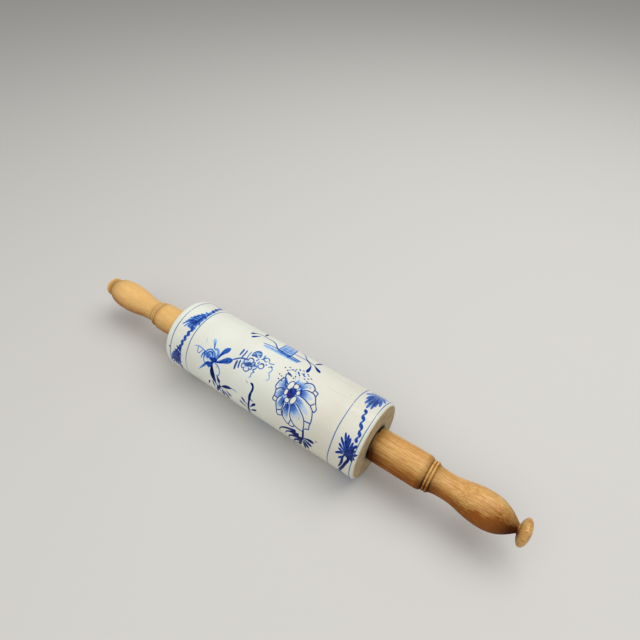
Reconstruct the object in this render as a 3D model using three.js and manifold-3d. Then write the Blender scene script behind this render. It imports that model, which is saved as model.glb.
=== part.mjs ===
// Porcelain rolling pin: a hollow glazed barrel that turns on a wooden axle between two turned handles.
// Millimetres, +Z up. The pin lies along X on the plane z = 0, with the middle of its barrel above the origin.
import * as THREE from "three";
import { mergeVertices } from "three/addons/utils/BufferGeometryUtils.js";
import Module from "manifold-3d";

const wasm = await Module();
wasm.setup();

// Barrel
const BARREL_DIAMETER = 62;
const BARREL_LENGTH = 190;
const BARREL_WALL = 7;
const END_WALL = 9;
const RIM_ROUNDING = 2.2;
const HOLE_CHAMFER = 0.8;

// Axle
const AXLE_DIAMETER = 16;
const AXLE_CHAMFER = 1;
const HOLE_CLEARANCE = 1.5;
const CONTACT_GAP = 0.3;
const GLUE_GAP = 0.3;

// Handle, with lengths along the pin
const END_GAP = 1;
const SOCKET_DEPTH = 34;
const SHANK_DIAMETER = 26;
const SHANK_LENGTH = 34.5;
const SHOULDER_CHAMFER = 0.6;
const SHANK_ROUNDING = 7;
const BEAD_DIAMETER = 23.4;
const BEAD_HEIGHT = 0.9;
const BEAD_WIDTH = 2;
const BEAD_COUNT = 2;
const NECK_DIAMETER = 18.8;
const NECK_LENGTH = 12.4;
const GRIP_DIAMETER = 26.4;
const GRIP_RISE = 24.7;
const GRIP_FALL = 23;
const STEM_DIAMETER = 7;
const STEM_LENGTH = 1.2;
const BUTTON_DIAMETER = 19.8;
const BUTTON_UNDERSIDE = 3;
const BUTTON_DOME = 3.2;

// Peg that locks a handle on the axle
const PEG_DIAMETER = 4;
const PEG_LENGTH = 18;

// Facets round every turned piece, and steps along each curve of an outline
const FACETS = 32;
const CURVE_STEPS = 5;

const barrelRadius = BARREL_DIAMETER / 2;
const axleRadius = AXLE_DIAMETER / 2;
const socketRadius = axleRadius + GLUE_GAP;
const shoulderStation = BARREL_LENGTH / 2 + END_GAP;
const axleHalfLength = shoulderStation + SOCKET_DEPTH - GLUE_GAP;
const axleDrop = HOLE_CLEARANCE - CONTACT_GAP;
const pegStation = SOCKET_DEPTH / 2;

const porcelain = new THREE.MeshStandardMaterial({ color: 0xe4e2da, roughness: 0.16, metalness: 0 });
const handleWood = new THREE.MeshStandardMaterial({ color: 0xb98546, roughness: 0.5, metalness: 0 });
const axleWood = new THREE.MeshStandardMaterial({ color: 0xc9a26b, roughness: 0.7, metalness: 0 });
const pegWood = new THREE.MeshStandardMaterial({ color: 0x8a5c2c, roughness: 0.6, metalness: 0 });

// Revolves an outline of (radius, station) about the X axis. The flats lie at the outline's radii.
function turned(outline) {
  const flatToCorner = 1 / Math.cos(Math.PI / FACETS);
  const corners = [outline.curves[0].getPoint(0)];
  for (const curve of outline.curves) {
    const steps = curve.isLineCurve ? 1 : CURVE_STEPS;
    corners.push(...curve.getPoints(steps).slice(1));
  }
  for (const corner of corners) corner.x *= flatToCorner;
  return new THREE.LatheGeometry(corners, FACETS, Math.PI / FACETS).rotateZ(-Math.PI / 2);
}

// The geometry as a solid that can be cut.
function solidOf(geometry) {
  const bare = geometry.clone();
  bare.deleteAttribute("normal");
  bare.deleteAttribute("uv");
  const merged = mergeVertices(bare);
  const vertProperties = new Float32Array(merged.getAttribute("position").array);
  const triVerts = new Uint32Array(merged.getIndex().array);
  return new wasm.Manifold(new wasm.Mesh({ numProp: 3, vertProperties, triVerts }));
}

// The geometry with each cutter taken out of it.
function cut(geometry, cutters) {
  let solid = solidOf(geometry);
  for (const cutter of cutters) solid = solid.subtract(solidOf(cutter));
  const mesh = solid.getMesh();
  return new THREE.BufferGeometry()
    .setAttribute("position", new THREE.BufferAttribute(mesh.vertProperties, 3))
    .setIndex(new THREE.BufferAttribute(mesh.triVerts, 1));
}

// An upright round bar under the axis, from the shank's underside upwards.
function pegBar(diameter, length) {
  const bar = new THREE.CylinderGeometry(diameter / 2, diameter / 2, length, FACETS / 2);
  return bar.rotateX(Math.PI / 2).translate(0, 0, length / 2 - SHANK_DIAMETER / 2);
}

// The hole that takes a peg, open below the shank.
function pegHole(station) {
  const hole = pegBar(PEG_DIAMETER + 2 * GLUE_GAP, PEG_LENGTH + 2 * GLUE_GAP);
  return hole.translate(station, 0, -GLUE_GAP);
}

// Hollow cylinder with rounded rims and a hole for the axle in each closed end.
function barrelGeometry() {
  const half = BARREL_LENGTH / 2;
  const holeRadius = axleRadius + HOLE_CLEARANCE;
  const cavityRadius = barrelRadius - BARREL_WALL;
  const cavityHalf = half - END_WALL;
  const rimCentre = barrelRadius - RIM_ROUNDING;
  const outline = new THREE.Path();
  outline.moveTo(holeRadius, cavityHalf);
  outline.lineTo(cavityRadius, cavityHalf);
  outline.lineTo(cavityRadius, -cavityHalf);
  outline.lineTo(holeRadius, -cavityHalf);
  outline.lineTo(holeRadius, HOLE_CHAMFER - half);
  outline.lineTo(holeRadius + HOLE_CHAMFER, -half);
  outline.lineTo(rimCentre, -half);
  outline.absarc(rimCentre, RIM_ROUNDING - half, RIM_ROUNDING, -Math.PI / 2, 0);
  outline.absarc(rimCentre, half - RIM_ROUNDING, RIM_ROUNDING, 0, Math.PI / 2);
  outline.lineTo(holeRadius + HOLE_CHAMFER, half);
  outline.lineTo(holeRadius, half - HOLE_CHAMFER);
  outline.lineTo(holeRadius, cavityHalf);
  return turned(outline);
}

// Dowel that reaches into both handles, with the two peg holes.
function axleGeometry() {
  const outline = new THREE.Path();
  outline.moveTo(0, -axleHalfLength);
  outline.lineTo(axleRadius - AXLE_CHAMFER, -axleHalfLength);
  outline.lineTo(axleRadius, AXLE_CHAMFER - axleHalfLength);
  outline.lineTo(axleRadius, axleHalfLength - AXLE_CHAMFER);
  outline.lineTo(axleRadius - AXLE_CHAMFER, axleHalfLength);
  outline.lineTo(0, axleHalfLength);
  const pegFromMiddle = shoulderStation + pegStation;
  return cut(turned(outline), [pegHole(-pegFromMiddle), pegHole(pegFromMiddle)]);
}

// Handle from its shoulder at station 0 to its end button: shank, beads, neck, grip, stem and button.
function handleGeometry() {
  const shankRadius = SHANK_DIAMETER / 2;
  const beadRoot = BEAD_DIAMETER / 2 - BEAD_HEIGHT;
  const neckRadius = NECK_DIAMETER / 2;
  const gripRadius = GRIP_DIAMETER / 2;
  const stemRadius = STEM_DIAMETER / 2;
  const buttonRadius = BUTTON_DIAMETER / 2;
  const beadsStart = SHANK_LENGTH + SHANK_ROUNDING;
  const beadsEnd = beadsStart + BEAD_COUNT * BEAD_WIDTH;
  const neckStation = beadsEnd + NECK_LENGTH;
  const gripStation = neckStation + GRIP_RISE;
  const stemStation = gripStation + GRIP_FALL;
  const stemAngle = Math.acos(stemRadius / buttonRadius);
  const buttonStation = stemStation + STEM_LENGTH + BUTTON_UNDERSIDE * Math.sin(stemAngle);
  const outline = new THREE.Path();
  outline.moveTo(0, SOCKET_DEPTH);
  outline.lineTo(socketRadius, SOCKET_DEPTH);
  outline.lineTo(socketRadius, 0);
  outline.lineTo(shankRadius - SHOULDER_CHAMFER, 0);
  outline.lineTo(shankRadius, SHOULDER_CHAMFER);
  outline.lineTo(shankRadius, SHANK_LENGTH);
  outline.absellipse(beadRoot, SHANK_LENGTH, shankRadius - beadRoot, SHANK_ROUNDING, 0, Math.PI / 2);
  for (let bead = 0; bead < BEAD_COUNT; bead += 1) {
    const middle = beadsStart + (bead + 0.5) * BEAD_WIDTH;
    outline.absellipse(beadRoot, middle, BEAD_HEIGHT, BEAD_WIDTH / 2, -Math.PI / 2, Math.PI / 2);
  }
  outline.bezierCurveTo(
    neckRadius, beadsEnd + 0.25 * NECK_LENGTH,
    neckRadius, neckStation - 0.4 * NECK_LENGTH,
    neckRadius, neckStation,
  );
  outline.bezierCurveTo(
    neckRadius, neckStation + 0.37 * GRIP_RISE,
    gripRadius, gripStation - 0.45 * GRIP_RISE,
    gripRadius, gripStation,
  );
  outline.bezierCurveTo(
    gripRadius, gripStation + 0.49 * GRIP_FALL,
    stemRadius + 0.6 * (gripRadius - stemRadius), stemStation - 0.26 * GRIP_FALL,
    stemRadius, stemStation,
  );
  outline.absellipse(0, buttonStation, buttonRadius, BUTTON_UNDERSIDE, -stemAngle, 0);
  outline.absellipse(0, buttonStation, buttonRadius, BUTTON_DOME, 0, Math.PI / 2);
  return cut(turned(outline), [pegHole(pegStation)]);
}

function piece(name, geometry, material) {
  const mesh = new THREE.Mesh(geometry, material);
  mesh.name = name;
  return mesh;
}

// One end of the pin: a handle and its peg, standing out along +X from the shoulder.
function handleEnd(side) {
  const end = new THREE.Group();
  end.add(piece(side + "_handle", handleGeometry(), handleWood));
  const peg = piece(side + "_peg", pegBar(PEG_DIAMETER, PEG_LENGTH), pegWood);
  peg.position.x = pegStation;
  end.add(peg);
  return end;
}

const rightEnd = handleEnd("right");
rightEnd.position.x = shoulderStation;

const leftEnd = handleEnd("left");
leftEnd.position.x = -shoulderStation;
leftEnd.rotation.z = Math.PI;

// The wooden spindle lies low in the barrel's loose holes.
const spindle = new THREE.Group();
spindle.position.z = -axleDrop;
spindle.add(piece("axle_rod", axleGeometry(), axleWood));
spindle.add(rightEnd, leftEnd);

const rollingPin = new THREE.Group();
rollingPin.position.z = barrelRadius;
rollingPin.add(piece("porcelain_barrel", barrelGeometry(), porcelain));
rollingPin.add(spindle);

export default rollingPin;
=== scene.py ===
# %% [markdown]
# # A porcelain rolling pin
# The pin is a hollow porcelain barrel, painted in cobalt blue, that turns on a wooden axle between two turned
# handles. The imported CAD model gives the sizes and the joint. This notebook builds the finished look around
# it, one piece at a time, and leaves the CAD nodes where they are.

# %% Load the frame
import math

import bpy
import numpy as np
from mathutils import Matrix, Vector
from mathutils.geometry import delaunay_2d_cdt


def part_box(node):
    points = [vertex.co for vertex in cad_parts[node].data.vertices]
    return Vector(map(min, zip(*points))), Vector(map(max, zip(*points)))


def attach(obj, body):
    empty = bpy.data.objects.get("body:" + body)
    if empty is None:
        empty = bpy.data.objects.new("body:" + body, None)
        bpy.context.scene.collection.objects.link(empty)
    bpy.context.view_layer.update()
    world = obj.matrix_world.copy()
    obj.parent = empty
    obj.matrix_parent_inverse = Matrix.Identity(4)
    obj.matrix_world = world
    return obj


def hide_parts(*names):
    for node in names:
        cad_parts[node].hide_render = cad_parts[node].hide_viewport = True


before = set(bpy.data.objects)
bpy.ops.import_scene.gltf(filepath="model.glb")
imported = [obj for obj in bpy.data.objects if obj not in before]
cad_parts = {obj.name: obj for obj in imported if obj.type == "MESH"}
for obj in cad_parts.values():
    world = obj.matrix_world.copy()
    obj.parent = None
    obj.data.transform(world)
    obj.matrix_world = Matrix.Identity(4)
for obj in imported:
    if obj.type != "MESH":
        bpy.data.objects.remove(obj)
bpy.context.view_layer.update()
scene = bpy.context.scene
MM = 0.001

# %% [markdown]
# ## Sizes
# A turned object is known by a few radii and stations along its axis. The ones that the frame can give are
# measured on the CAD nodes, so that a change in the source moves the finish too. The others are written here
# in millimetres, as a maker would note them on a drawing.

# %% Measure the frame
barrel_low, barrel_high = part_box("porcelain_barrel")
handle_low, handle_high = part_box("right_handle")
peg_low, peg_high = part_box("right_peg")

BARREL_HALF = barrel_high.x / MM
BARREL_RADIUS = 0.5 * (barrel_high.z - barrel_low.z) / MM
BARREL_HEIGHT = 0.5 * (barrel_high.z + barrel_low.z) / MM
SPINDLE_HEIGHT = 0.5 * (handle_high.z + handle_low.z) / MM
SHOULDER = handle_low.x / MM
HANDLE_LENGTH = handle_high.x / MM - SHOULDER
BARREL_ROUND = 2 * math.pi * BARREL_RADIUS
print(f"barrel {2 * BARREL_HALF:.1f} by {2 * BARREL_RADIUS:.1f} mm, handles {HANDLE_LENGTH:.1f} mm")

# %% [markdown]
# ## Camera, floor and light
# The camera stands where the photograph was taken: a wide lens, close to the right-hand handle, looking down
# at about 45 degrees. The floor is a plain pale sheet. A soft lamp above and behind the pin makes the shadow
# that falls towards the camera, and a larger, softer one in front fills it. With an even world they give each
# surface about the light at which its colour renders as it is written.

# %% Camera
CAMERA_PLACE = (0.1632, -0.1654, 0.3307)
CAMERA_TURN = (45.06, 0.0, 35.44)
CAMERA_LENS = 25.80

camera = bpy.data.objects.new("camera", bpy.data.cameras.new("camera"))
camera.location = CAMERA_PLACE
camera.rotation_euler = [math.radians(a) for a in CAMERA_TURN]
camera.data.lens = CAMERA_LENS
camera.data.sensor_width = 36.0
camera.data.clip_start = 0.01
scene.collection.objects.link(camera)
scene.camera = camera
scene.view_settings.view_transform = "Standard"
print("camera lens", CAMERA_LENS, "mm")

# %% Helpers for node trees
def feed(tree, socket, value):
    """Gives a socket a value, or links it to another node's output."""
    if isinstance(value, bpy.types.NodeSocket):
        tree.links.new(value, socket)
    else:
        socket.default_value = value


def maths(tree, operation, *values):
    """One step of arithmetic, in a shader or in Geometry Nodes."""
    node = tree.nodes.new("ShaderNodeMath")
    node.operation = operation
    for socket, value in zip(node.inputs, values):
        feed(tree, socket, value)
    return node.outputs[0]


def weighed(tree, *pairs, start=0.0):
    """The sum of values, each times its weight."""
    total = start
    for value, weight in pairs:
        total = maths(tree, "MULTIPLY_ADD", value, weight, total)
    return total


def split(tree, vector):
    """The three parts of a vector, by their names."""
    node = tree.nodes.new("ShaderNodeSeparateXYZ")
    feed(tree, node.inputs[0], vector)
    return node.outputs


def joined(tree, *parts):
    """A vector from its parts."""
    node = tree.nodes.new("ShaderNodeCombineXYZ")
    for socket, part in zip(node.inputs, parts):
        feed(tree, socket, part)
    return node.outputs[0]


def linear(red, green, blue):
    """A colour as a screen shows it, 0 to 255, as the light values that nodes work with."""
    shares = [c / 255 for c in (red, green, blue)]
    return [s / 12.92 if s <= 0.04045 else ((s + 0.055) / 1.055) ** 2.4 for s in shares] + [1.0]


def new_finish(name):
    """An empty material: its tree and the Principled shader that the rest feeds."""
    finish = bpy.data.materials.new(name)
    finish.use_nodes = True
    return finish, finish.node_tree, finish.node_tree.nodes["Principled BSDF"]


print("helpers ready")

# %% Floor
FLOOR_SIZE = 6.0
FLOOR_COLOUR, FLOOR_ROUGHNESS = linear(208, 206, 202), 0.85

floor_finish, _, shader = new_finish("pale floor")
shader.inputs["Base Color"].default_value = FLOOR_COLOUR
shader.inputs["Roughness"].default_value = FLOOR_ROUGHNESS
half = FLOOR_SIZE / 2
corners = [(-half, -half, 0), (half, -half, 0), (half, half, 0), (-half, half, 0)]
floor_mesh = bpy.data.meshes.new("floor")
floor_mesh.from_pydata(corners, [], [(0, 1, 2, 3)])
floor_mesh.materials.append(floor_finish)
floor = bpy.data.objects.new("floor", floor_mesh)
scene.collection.objects.link(floor)
print("floor", FLOOR_SIZE, "m square")

# %% Lamps and world
WORLD_COLOUR, WORLD_LIGHT = (1.0, 0.99, 0.97, 1.0), 0.36
LAMP_TARGET = Vector((0, 0, 0.03))
LAMPS = {  # place in metres, size in metres, power in watts
    "key lamp": ((0.25, 0.45, 1.10), 0.9, 8.0),
    "fill lamp": ((0.10, -0.65, 1.15), 1.6, 8.2),
}

world = bpy.data.worlds.new("soft studio")
world.use_nodes = True
surround = world.node_tree.nodes["Background"]
surround.inputs["Color"].default_value = WORLD_COLOUR
surround.inputs["Strength"].default_value = WORLD_LIGHT
scene.world = world


def soft_lamp(name, place, size, watts):
    """A square lamp that faces the middle of the pin."""
    lamp = bpy.data.objects.new(name, bpy.data.lights.new(name, "AREA"))
    lamp.data.shape = "SQUARE"
    lamp.data.size = size
    lamp.data.energy = watts
    lamp.location = place
    lamp.rotation_euler = (LAMP_TARGET - lamp.location).to_track_quat("-Z", "Y").to_euler()
    scene.collection.objects.link(lamp)


for name, given in LAMPS.items():
    soft_lamp(name, *given)
print("world", WORLD_LIGHT, "and", len(LAMPS), "lamps")

# %% [markdown]
# ## Turning on a lathe
# The handles, the pegs and the inside of the barrel are round about an axis, so one rule makes them all: draw
# half of the outline, and turn it. The Spin operator would do it once; a Geometry Nodes tree keeps the rule
# and its named sizes together. The tree lays a grid with one column for each point of the outline, moves each
# grid point to its place round the axis, and merges the seam and the two poles.

# %% The lathe tree
BAKE_MAP = "OFBake"
MERGE_DISTANCE = 0.002


def socket_in(tree, name, kind):
    tree.interface.new_socket(name, in_out="INPUT", socket_type=kind)


def socket_out(tree, name, kind):
    tree.interface.new_socket(name, in_out="OUTPUT", socket_type=kind)


def finish_tree(tree, geometry):
    """The last nodes of every tree: plain geometry, smooth, in its material."""
    given = tree.nodes.new("NodeGroupInput")
    realize = tree.nodes.new("GeometryNodeRealizeInstances")
    smooth = tree.nodes.new("GeometryNodeSetShadeSmooth")
    coat = tree.nodes.new("GeometryNodeSetMaterial")
    out = tree.nodes.new("NodeGroupOutput")
    feed(tree, smooth.inputs["Geometry"], geometry)
    feed(tree, realize.inputs["Geometry"], smooth.outputs[0])
    feed(tree, coat.inputs["Geometry"], realize.outputs[0])
    feed(tree, coat.inputs["Material"], given.outputs["Finish"])
    feed(tree, out.inputs[0], coat.outputs[0])


def keep_map(tree, geometry, across, along):
    """Stores where each corner lies on the flat map of the piece."""
    store = tree.nodes.new("GeometryNodeStoreNamedAttribute")
    store.data_type = "FLOAT2"
    store.domain = "CORNER"
    store.inputs["Name"].default_value = BAKE_MAP
    feed(tree, store.inputs["Geometry"], geometry)
    feed(tree, store.inputs["Value"], joined(tree, across, along))
    return store.outputs[0]


def merged(tree, geometry):
    """The geometry with points that touch made one."""
    merge = tree.nodes.new("GeometryNodeMergeByDistance")
    feed(tree, merge.inputs["Geometry"], geometry)
    merge.inputs["Distance"].default_value = MERGE_DISTANCE * MM
    return merge.outputs[0]


def moved(tree, geometry, place):
    """The geometry with each point moved to its place."""
    move = tree.nodes.new("GeometryNodeSetPosition")
    feed(tree, move.inputs["Geometry"], geometry)
    feed(tree, move.inputs["Position"], place)
    return move.outputs[0]


def lathe_tree():
    tree = bpy.data.node_groups.new("turn on a lathe", "GeometryNodeTree")
    socket_in(tree, "Outline", "NodeSocketGeometry")
    socket_in(tree, "Facets", "NodeSocketInt")
    socket_in(tree, "Axis height", "NodeSocketFloat")
    socket_in(tree, "Map start", "NodeSocketFloat")
    socket_in(tree, "Finish", "NodeSocketMaterial")
    socket_out(tree, "Turned piece", "NodeSocketGeometry")
    given = tree.nodes.new("NodeGroupInput").outputs
    count = tree.nodes.new("GeometryNodeAttributeDomainSize")
    feed(tree, count.inputs[0], given["Outline"])
    columns = count.outputs["Point Count"]
    rows = maths(tree, "ADD", given["Facets"], 1.0)
    grid = tree.nodes.new("GeometryNodeMeshGrid")
    feed(tree, grid.inputs["Vertices X"], columns)
    feed(tree, grid.inputs["Vertices Y"], rows)
    index = tree.nodes.new("GeometryNodeInputIndex").outputs[0]
    column = maths(tree, "FLOOR", maths(tree, "DIVIDE", index, rows))
    row = maths(tree, "SUBTRACT", index, maths(tree, "MULTIPLY", column, rows))
    corner = tree.nodes.new("GeometryNodeSampleIndex")
    corner.data_type = "FLOAT_VECTOR"
    feed(tree, corner.inputs["Geometry"], given["Outline"])
    feed(tree, corner.inputs["Value"], tree.nodes.new("GeometryNodeInputPosition").outputs[0])
    feed(tree, corner.inputs["Index"], column)
    parts = split(tree, corner.outputs["Value"])
    station, radius = parts["X"], parts["Z"]
    across = maths(tree, "DIVIDE", row, given["Facets"])
    angle = maths(tree, "MULTIPLY", across, 2 * math.pi)
    sideways = maths(tree, "MULTIPLY", radius, maths(tree, "SINE", angle))
    lift = maths(tree, "MULTIPLY", radius, maths(tree, "COSINE", angle))
    lift = maths(tree, "ADD", lift, given["Axis height"])
    share = maths(tree, "DIVIDE", column, maths(tree, "SUBTRACT", columns, 1.0))
    left = maths(tree, "SUBTRACT", 1.0, given["Map start"])
    along = maths(tree, "ADD", given["Map start"], maths(tree, "MULTIPLY", share, left))
    laid = keep_map(tree, grid.outputs["Mesh"], across, along)
    finish_tree(tree, merged(tree, moved(tree, laid, joined(tree, station, sideways, lift))))
    return tree


def made_plain(piece):
    """The mesh of an object as its modifiers leave it."""
    depsgraph = bpy.context.evaluated_depsgraph_get()
    evaluated = piece.evaluated_get(depsgraph)
    return bpy.data.meshes.new_from_object(evaluated, preserve_all_data_layers=True, depsgraph=depsgraph)


def run_tree(name, start_mesh, tree, **inputs):
    """Runs a tree on a mesh, and keeps the result as a plain mesh at the origin."""
    start = bpy.data.objects.new(name + " start", start_mesh)
    scene.collection.objects.link(start)
    modifier = start.modifiers.new("rule", "NODES")
    modifier.node_group = tree
    for item in tree.interface.items_tree:
        if item.in_out == "INPUT" and item.name in inputs:
            modifier[item.identifier] = inputs[item.name]
    mesh = made_plain(start)
    start.modifiers.remove(modifier)
    bpy.data.objects.remove(start)
    mesh.name = name
    mesh.materials.clear()
    mesh.materials.append(inputs["Finish"])
    mesh.polygons.foreach_set("material_index", [0] * len(mesh.polygons))
    piece = bpy.data.objects.new(name, mesh)
    scene.collection.objects.link(piece)
    return piece


def outline_mesh(corners):
    """An outline of (station, radius) in millimetres, as a chain of edges in metres."""
    mesh = bpy.data.meshes.new("outline")
    points = [(x * MM, 0.0, r * MM) for x, r in corners]
    mesh.from_pydata(points, [(k, k + 1) for k in range(len(points) - 1)], [])
    return mesh


LATHE = lathe_tree()
print("lathe tree with", len(LATHE.nodes), "nodes")

# %% [markdown]
# ## Wood
# The handles are turned from a pale close-grained wood, oiled by years of hands. Grain is colour that changes
# slowly along the piece and quickly across it, so the noise is stretched along the axis. The low front side
# of each handle, turned away from the key lamp, is darkened: partly a real brown patina, partly painted
# shade, and it has lost its polish there. The same grain shows on the handles, the axle and the pegs, in
# different tones, so it is a shader node group with named inputs. Its outputs only vary the colour, the
# roughness, the polish and the height; the shader itself stays in each material. The polish is a thin coat
# over the wood.

# %% Helpers for patterns
def stretched_noise(tree, place, scale, detail, roughness=0.55):
    """Noise with its own scale along each axis, in cycles per metre."""
    mapping = tree.nodes.new("ShaderNodeMapping")
    mapping.inputs["Scale"].default_value = scale
    feed(tree, mapping.inputs["Vector"], place)
    noise = tree.nodes.new("ShaderNodeTexNoise")
    noise.inputs["Scale"].default_value = 1.0
    noise.inputs["Detail"].default_value = detail
    noise.inputs["Roughness"].default_value = roughness
    feed(tree, noise.inputs["Vector"], mapping.outputs[0])
    return noise.outputs["Fac"]


def ranged(tree, value, low, high, to_low=0.0, to_high=1.0):
    """Stretches a value from one range to another, held at both ends."""
    node = tree.nodes.new("ShaderNodeMapRange")
    node.interpolation_type = "SMOOTHSTEP"
    for socket, given in zip(node.inputs, (value, low, high, to_low, to_high)):
        feed(tree, socket, given)
    return node.outputs[0]


def over_stretch(tree, value, stretch, to_low=0.0, to_high=1.0):
    """A value that changes over a stretch, which is given in millimetres."""
    first, last = stretch
    return ranged(tree, value, first * MM, last * MM, to_low, to_high)


def mixed(tree, share, first, second):
    """Two colours mixed by a share."""
    node = tree.nodes.new("ShaderNodeMix")
    node.data_type = "RGBA"
    feed(tree, node.inputs[0], share)
    feed(tree, node.inputs[6], first)
    feed(tree, node.inputs[7], second)
    return node.outputs[2]


def from_axis(tree, parts, height):
    """How far a place lies above an axis along the pin, and how far from it."""
    above = maths(tree, "SUBTRACT", parts["Z"], height * MM)
    return above, maths(tree, "SQRT", weighed(tree, (parts["Y"], parts["Y"]), (above, above)))


print("pattern helpers ready")

# %% Grain, as a shader node group
# Noises, in cycles per metre along the pin and across it
BROAD_FIGURE, STREAKS = (14, 60, 60), (60, 1100, 1100)
PORES, BLOTCHES = (340, 2400, 2400), (110, 210, 210)
# Stretches of a handle over which the painted shade of its low side and the blotches change, in millimetres
# from its shoulder
GRIP_SWELLS, GRIP_ENDS, BUTTON_STARTS = (62, 100), (103, 107), (106, 108)
# The side left pale faces the key lamp, up and to the back: the shares of both in its direction, and how
# softly the side away from it darkens with painted shade and brown patina
LIT_SIDE_UP, LIT_SIDE_BACK, SHADE_SOFTNESS = 0.87, 0.5, 1.2
FULL_POLISH = 0.62


def grain_figure(tree, place, strength):
    """How dark the grain is, with the streaks and the pores in it."""
    broad = stretched_noise(tree, place, BROAD_FIGURE, 4)
    streak = stretched_noise(tree, place, STREAKS, 5, 0.62)
    pores = stretched_noise(tree, place, PORES, 3)
    figure = weighed(tree, (ranged(tree, streak, 0.33, 0.69), 0.45), (ranged(tree, broad, 0.3, 0.7), 0.36))
    figure = weighed(tree, (figure, strength), (ranged(tree, pores, 0.5, 0.72), 0.42))
    return figure, streak, pores


def shade_and_marks_of_hands(tree, place, low_from, mottle):
    """Where a handle is darkened: its low front side, turned away from the key lamp, as painted shade with
    some real brown patina, and blotches on the grip and the button.
    """
    parts = split(tree, place)
    station = maths(tree, "SUBTRACT", maths(tree, "ABSOLUTE", parts["X"]), SHOULDER * MM)
    above, radius = from_axis(tree, parts, SPINDLE_HEIGHT)
    # rise is how far a place faces the key lamp, up and to the back; the side turned away is darkened as
    # painted shade
    rise = maths(tree, "DIVIDE", weighed(tree, (above, LIT_SIDE_UP), (parts["Y"], LIT_SIDE_BACK)), radius)
    grip = over_stretch(tree, station, GRIP_ENDS, 1.0, 0.15)
    tail = maths(tree, "MULTIPLY", grip, over_stretch(tree, station, GRIP_SWELLS))
    climb = maths(tree, "MULTIPLY_ADD", maths(tree, "MULTIPLY", tail, 0.6), mottle, low_from)
    browning_and_shade_side = ranged(tree, maths(tree, "SUBTRACT", climb, rise), 0.0, SHADE_SOFTNESS)
    browning_and_shade_side = maths(tree, "MULTIPLY", browning_and_shade_side, grip)
    blotch = ranged(tree, stretched_noise(tree, place, BLOTCHES, 4, 0.6), 0.28, 0.7)
    where = maths(tree, "MULTIPLY", tail, maths(tree, "ADD", browning_and_shade_side, 0.4))
    where = maths(tree, "ADD", where, over_stretch(tree, station, BUTTON_STARTS, 0.1, 0.8))
    return browning_and_shade_side, maths(tree, "MULTIPLY", blotch, where)


def grain_group():
    tree = bpy.data.node_groups.new("turned wood grain", "ShaderNodeTree")
    for name in ("Pale wood", "Dark grain", "Patina", "Grime"):
        socket_in(tree, name, "NodeSocketColor")
    for name in ("Grain strength", "Settled grime", "Low side", "Low from", "Mottle"):
        socket_in(tree, name, "NodeSocketFloat")
    socket_out(tree, "Colour", "NodeSocketColor")
    for name in ("Roughness", "Polish", "Height"):
        socket_out(tree, name, "NodeSocketFloat")
    given = tree.nodes.new("NodeGroupInput").outputs
    out = tree.nodes.new("NodeGroupOutput").inputs
    place = tree.nodes.new("ShaderNodeTexCoord").outputs["Object"]
    figure, streak, pores = grain_figure(tree, place, given["Grain strength"])
    browning_and_shade_side, blotch = shade_and_marks_of_hands(tree, place, given["Low from"], given["Mottle"])
    # The low side's darkening is painted shade with some real brown patina; the blotches are real marks
    browned_and_shaded = weighed(tree, (browning_and_shade_side, given["Low side"]), (blotch, given["Mottle"]))
    browned_and_shaded = maths(tree, "MULTIPLY", browned_and_shaded, ranged(tree, streak, 0.3, 0.7, 0.75, 1.15))
    # The grime is darker still on the low side, as painted shade
    grime_and_painted_shade = maths(tree, "MULTIPLY", given["Settled grime"], ranged(tree, browning_and_shade_side, 0.0, 1.0, 0.7, 1.25))
    grime_and_painted_shade = maths(tree, "MINIMUM", grime_and_painted_shade, 0.95)
    wood = mixed(tree, figure, given["Pale wood"], given["Dark grain"])
    wood = mixed(tree, maths(tree, "MINIMUM", browned_and_shaded, 0.9), wood, given["Patina"])
    feed(tree, out["Colour"], mixed(tree, grime_and_painted_shade, wood, given["Grime"]))
    feed(tree, out["Roughness"], weighed(tree, (streak, 0.2), (grime_and_painted_shade, 0.2), start=0.32))
    feed(tree, out["Polish"], ranged(tree, maths(tree, "ADD", browning_and_shade_side, grime_and_painted_shade), 0.0, 0.7, FULL_POLISH, 0.0))
    feed(tree, out["Height"], weighed(tree, (streak, 0.5), (pores, -0.4)))
    return tree


GRAIN = grain_group()
print("grain group with", len(GRAIN.nodes), "nodes")

# %% [markdown]
# ## Sizes of the two handles
# Both handles follow one pattern, but each was turned by hand, so each has its own list of lengths and radii
# in millimetres. Over the years grime has gathered at the shoulder, in the grooves beside the beads and round
# the stem, and the darkening there is also painted shade in these recesses and where the shoulder meets the
# barrel, so its places are worked out from the same list.

# %% Turnings
RIGHT_TURNING = {
    "shank": 13.0, "shank_length": 37.0, "rounding": 4.3,
    "bead_root": 10.8, "bead_width": 2.2, "bead_height": 0.9,
    "neck": 9.4, "neck_length": 11.1, "grip": 12.8, "rise": 25.5, "fall": 21.8, "fullness": 0.55,
    "stem": 3.5, "stem_length": 0.8, "button": 10.0, "underside": 3.8,
}
LEFT_TURNING = {
    "shank": 12.8, "shank_length": 33.2, "rounding": 5.0,
    "bead_root": 11.0, "bead_width": 1.9, "bead_height": 0.8,
    "neck": 9.8, "neck_length": 8.5, "grip": 13.4, "rise": 34.0, "fall": 23.8, "fullness": 0.85,
    "stem": 5.0, "stem_length": 0.2, "button": 8.9, "underside": 1.6,
}
BEAD_COUNT = 2


def stations(t):
    """Stations of the beads, the neck, its narrow end, the grip's widest place and the stem."""
    beads = t["shank_length"] + t["rounding"]
    neck = beads + BEAD_COUNT * t["bead_width"]
    narrow = neck + t["neck_length"]
    widest = narrow + t["rise"]
    return beads, neck, narrow, widest, widest + t["fall"]


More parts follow.
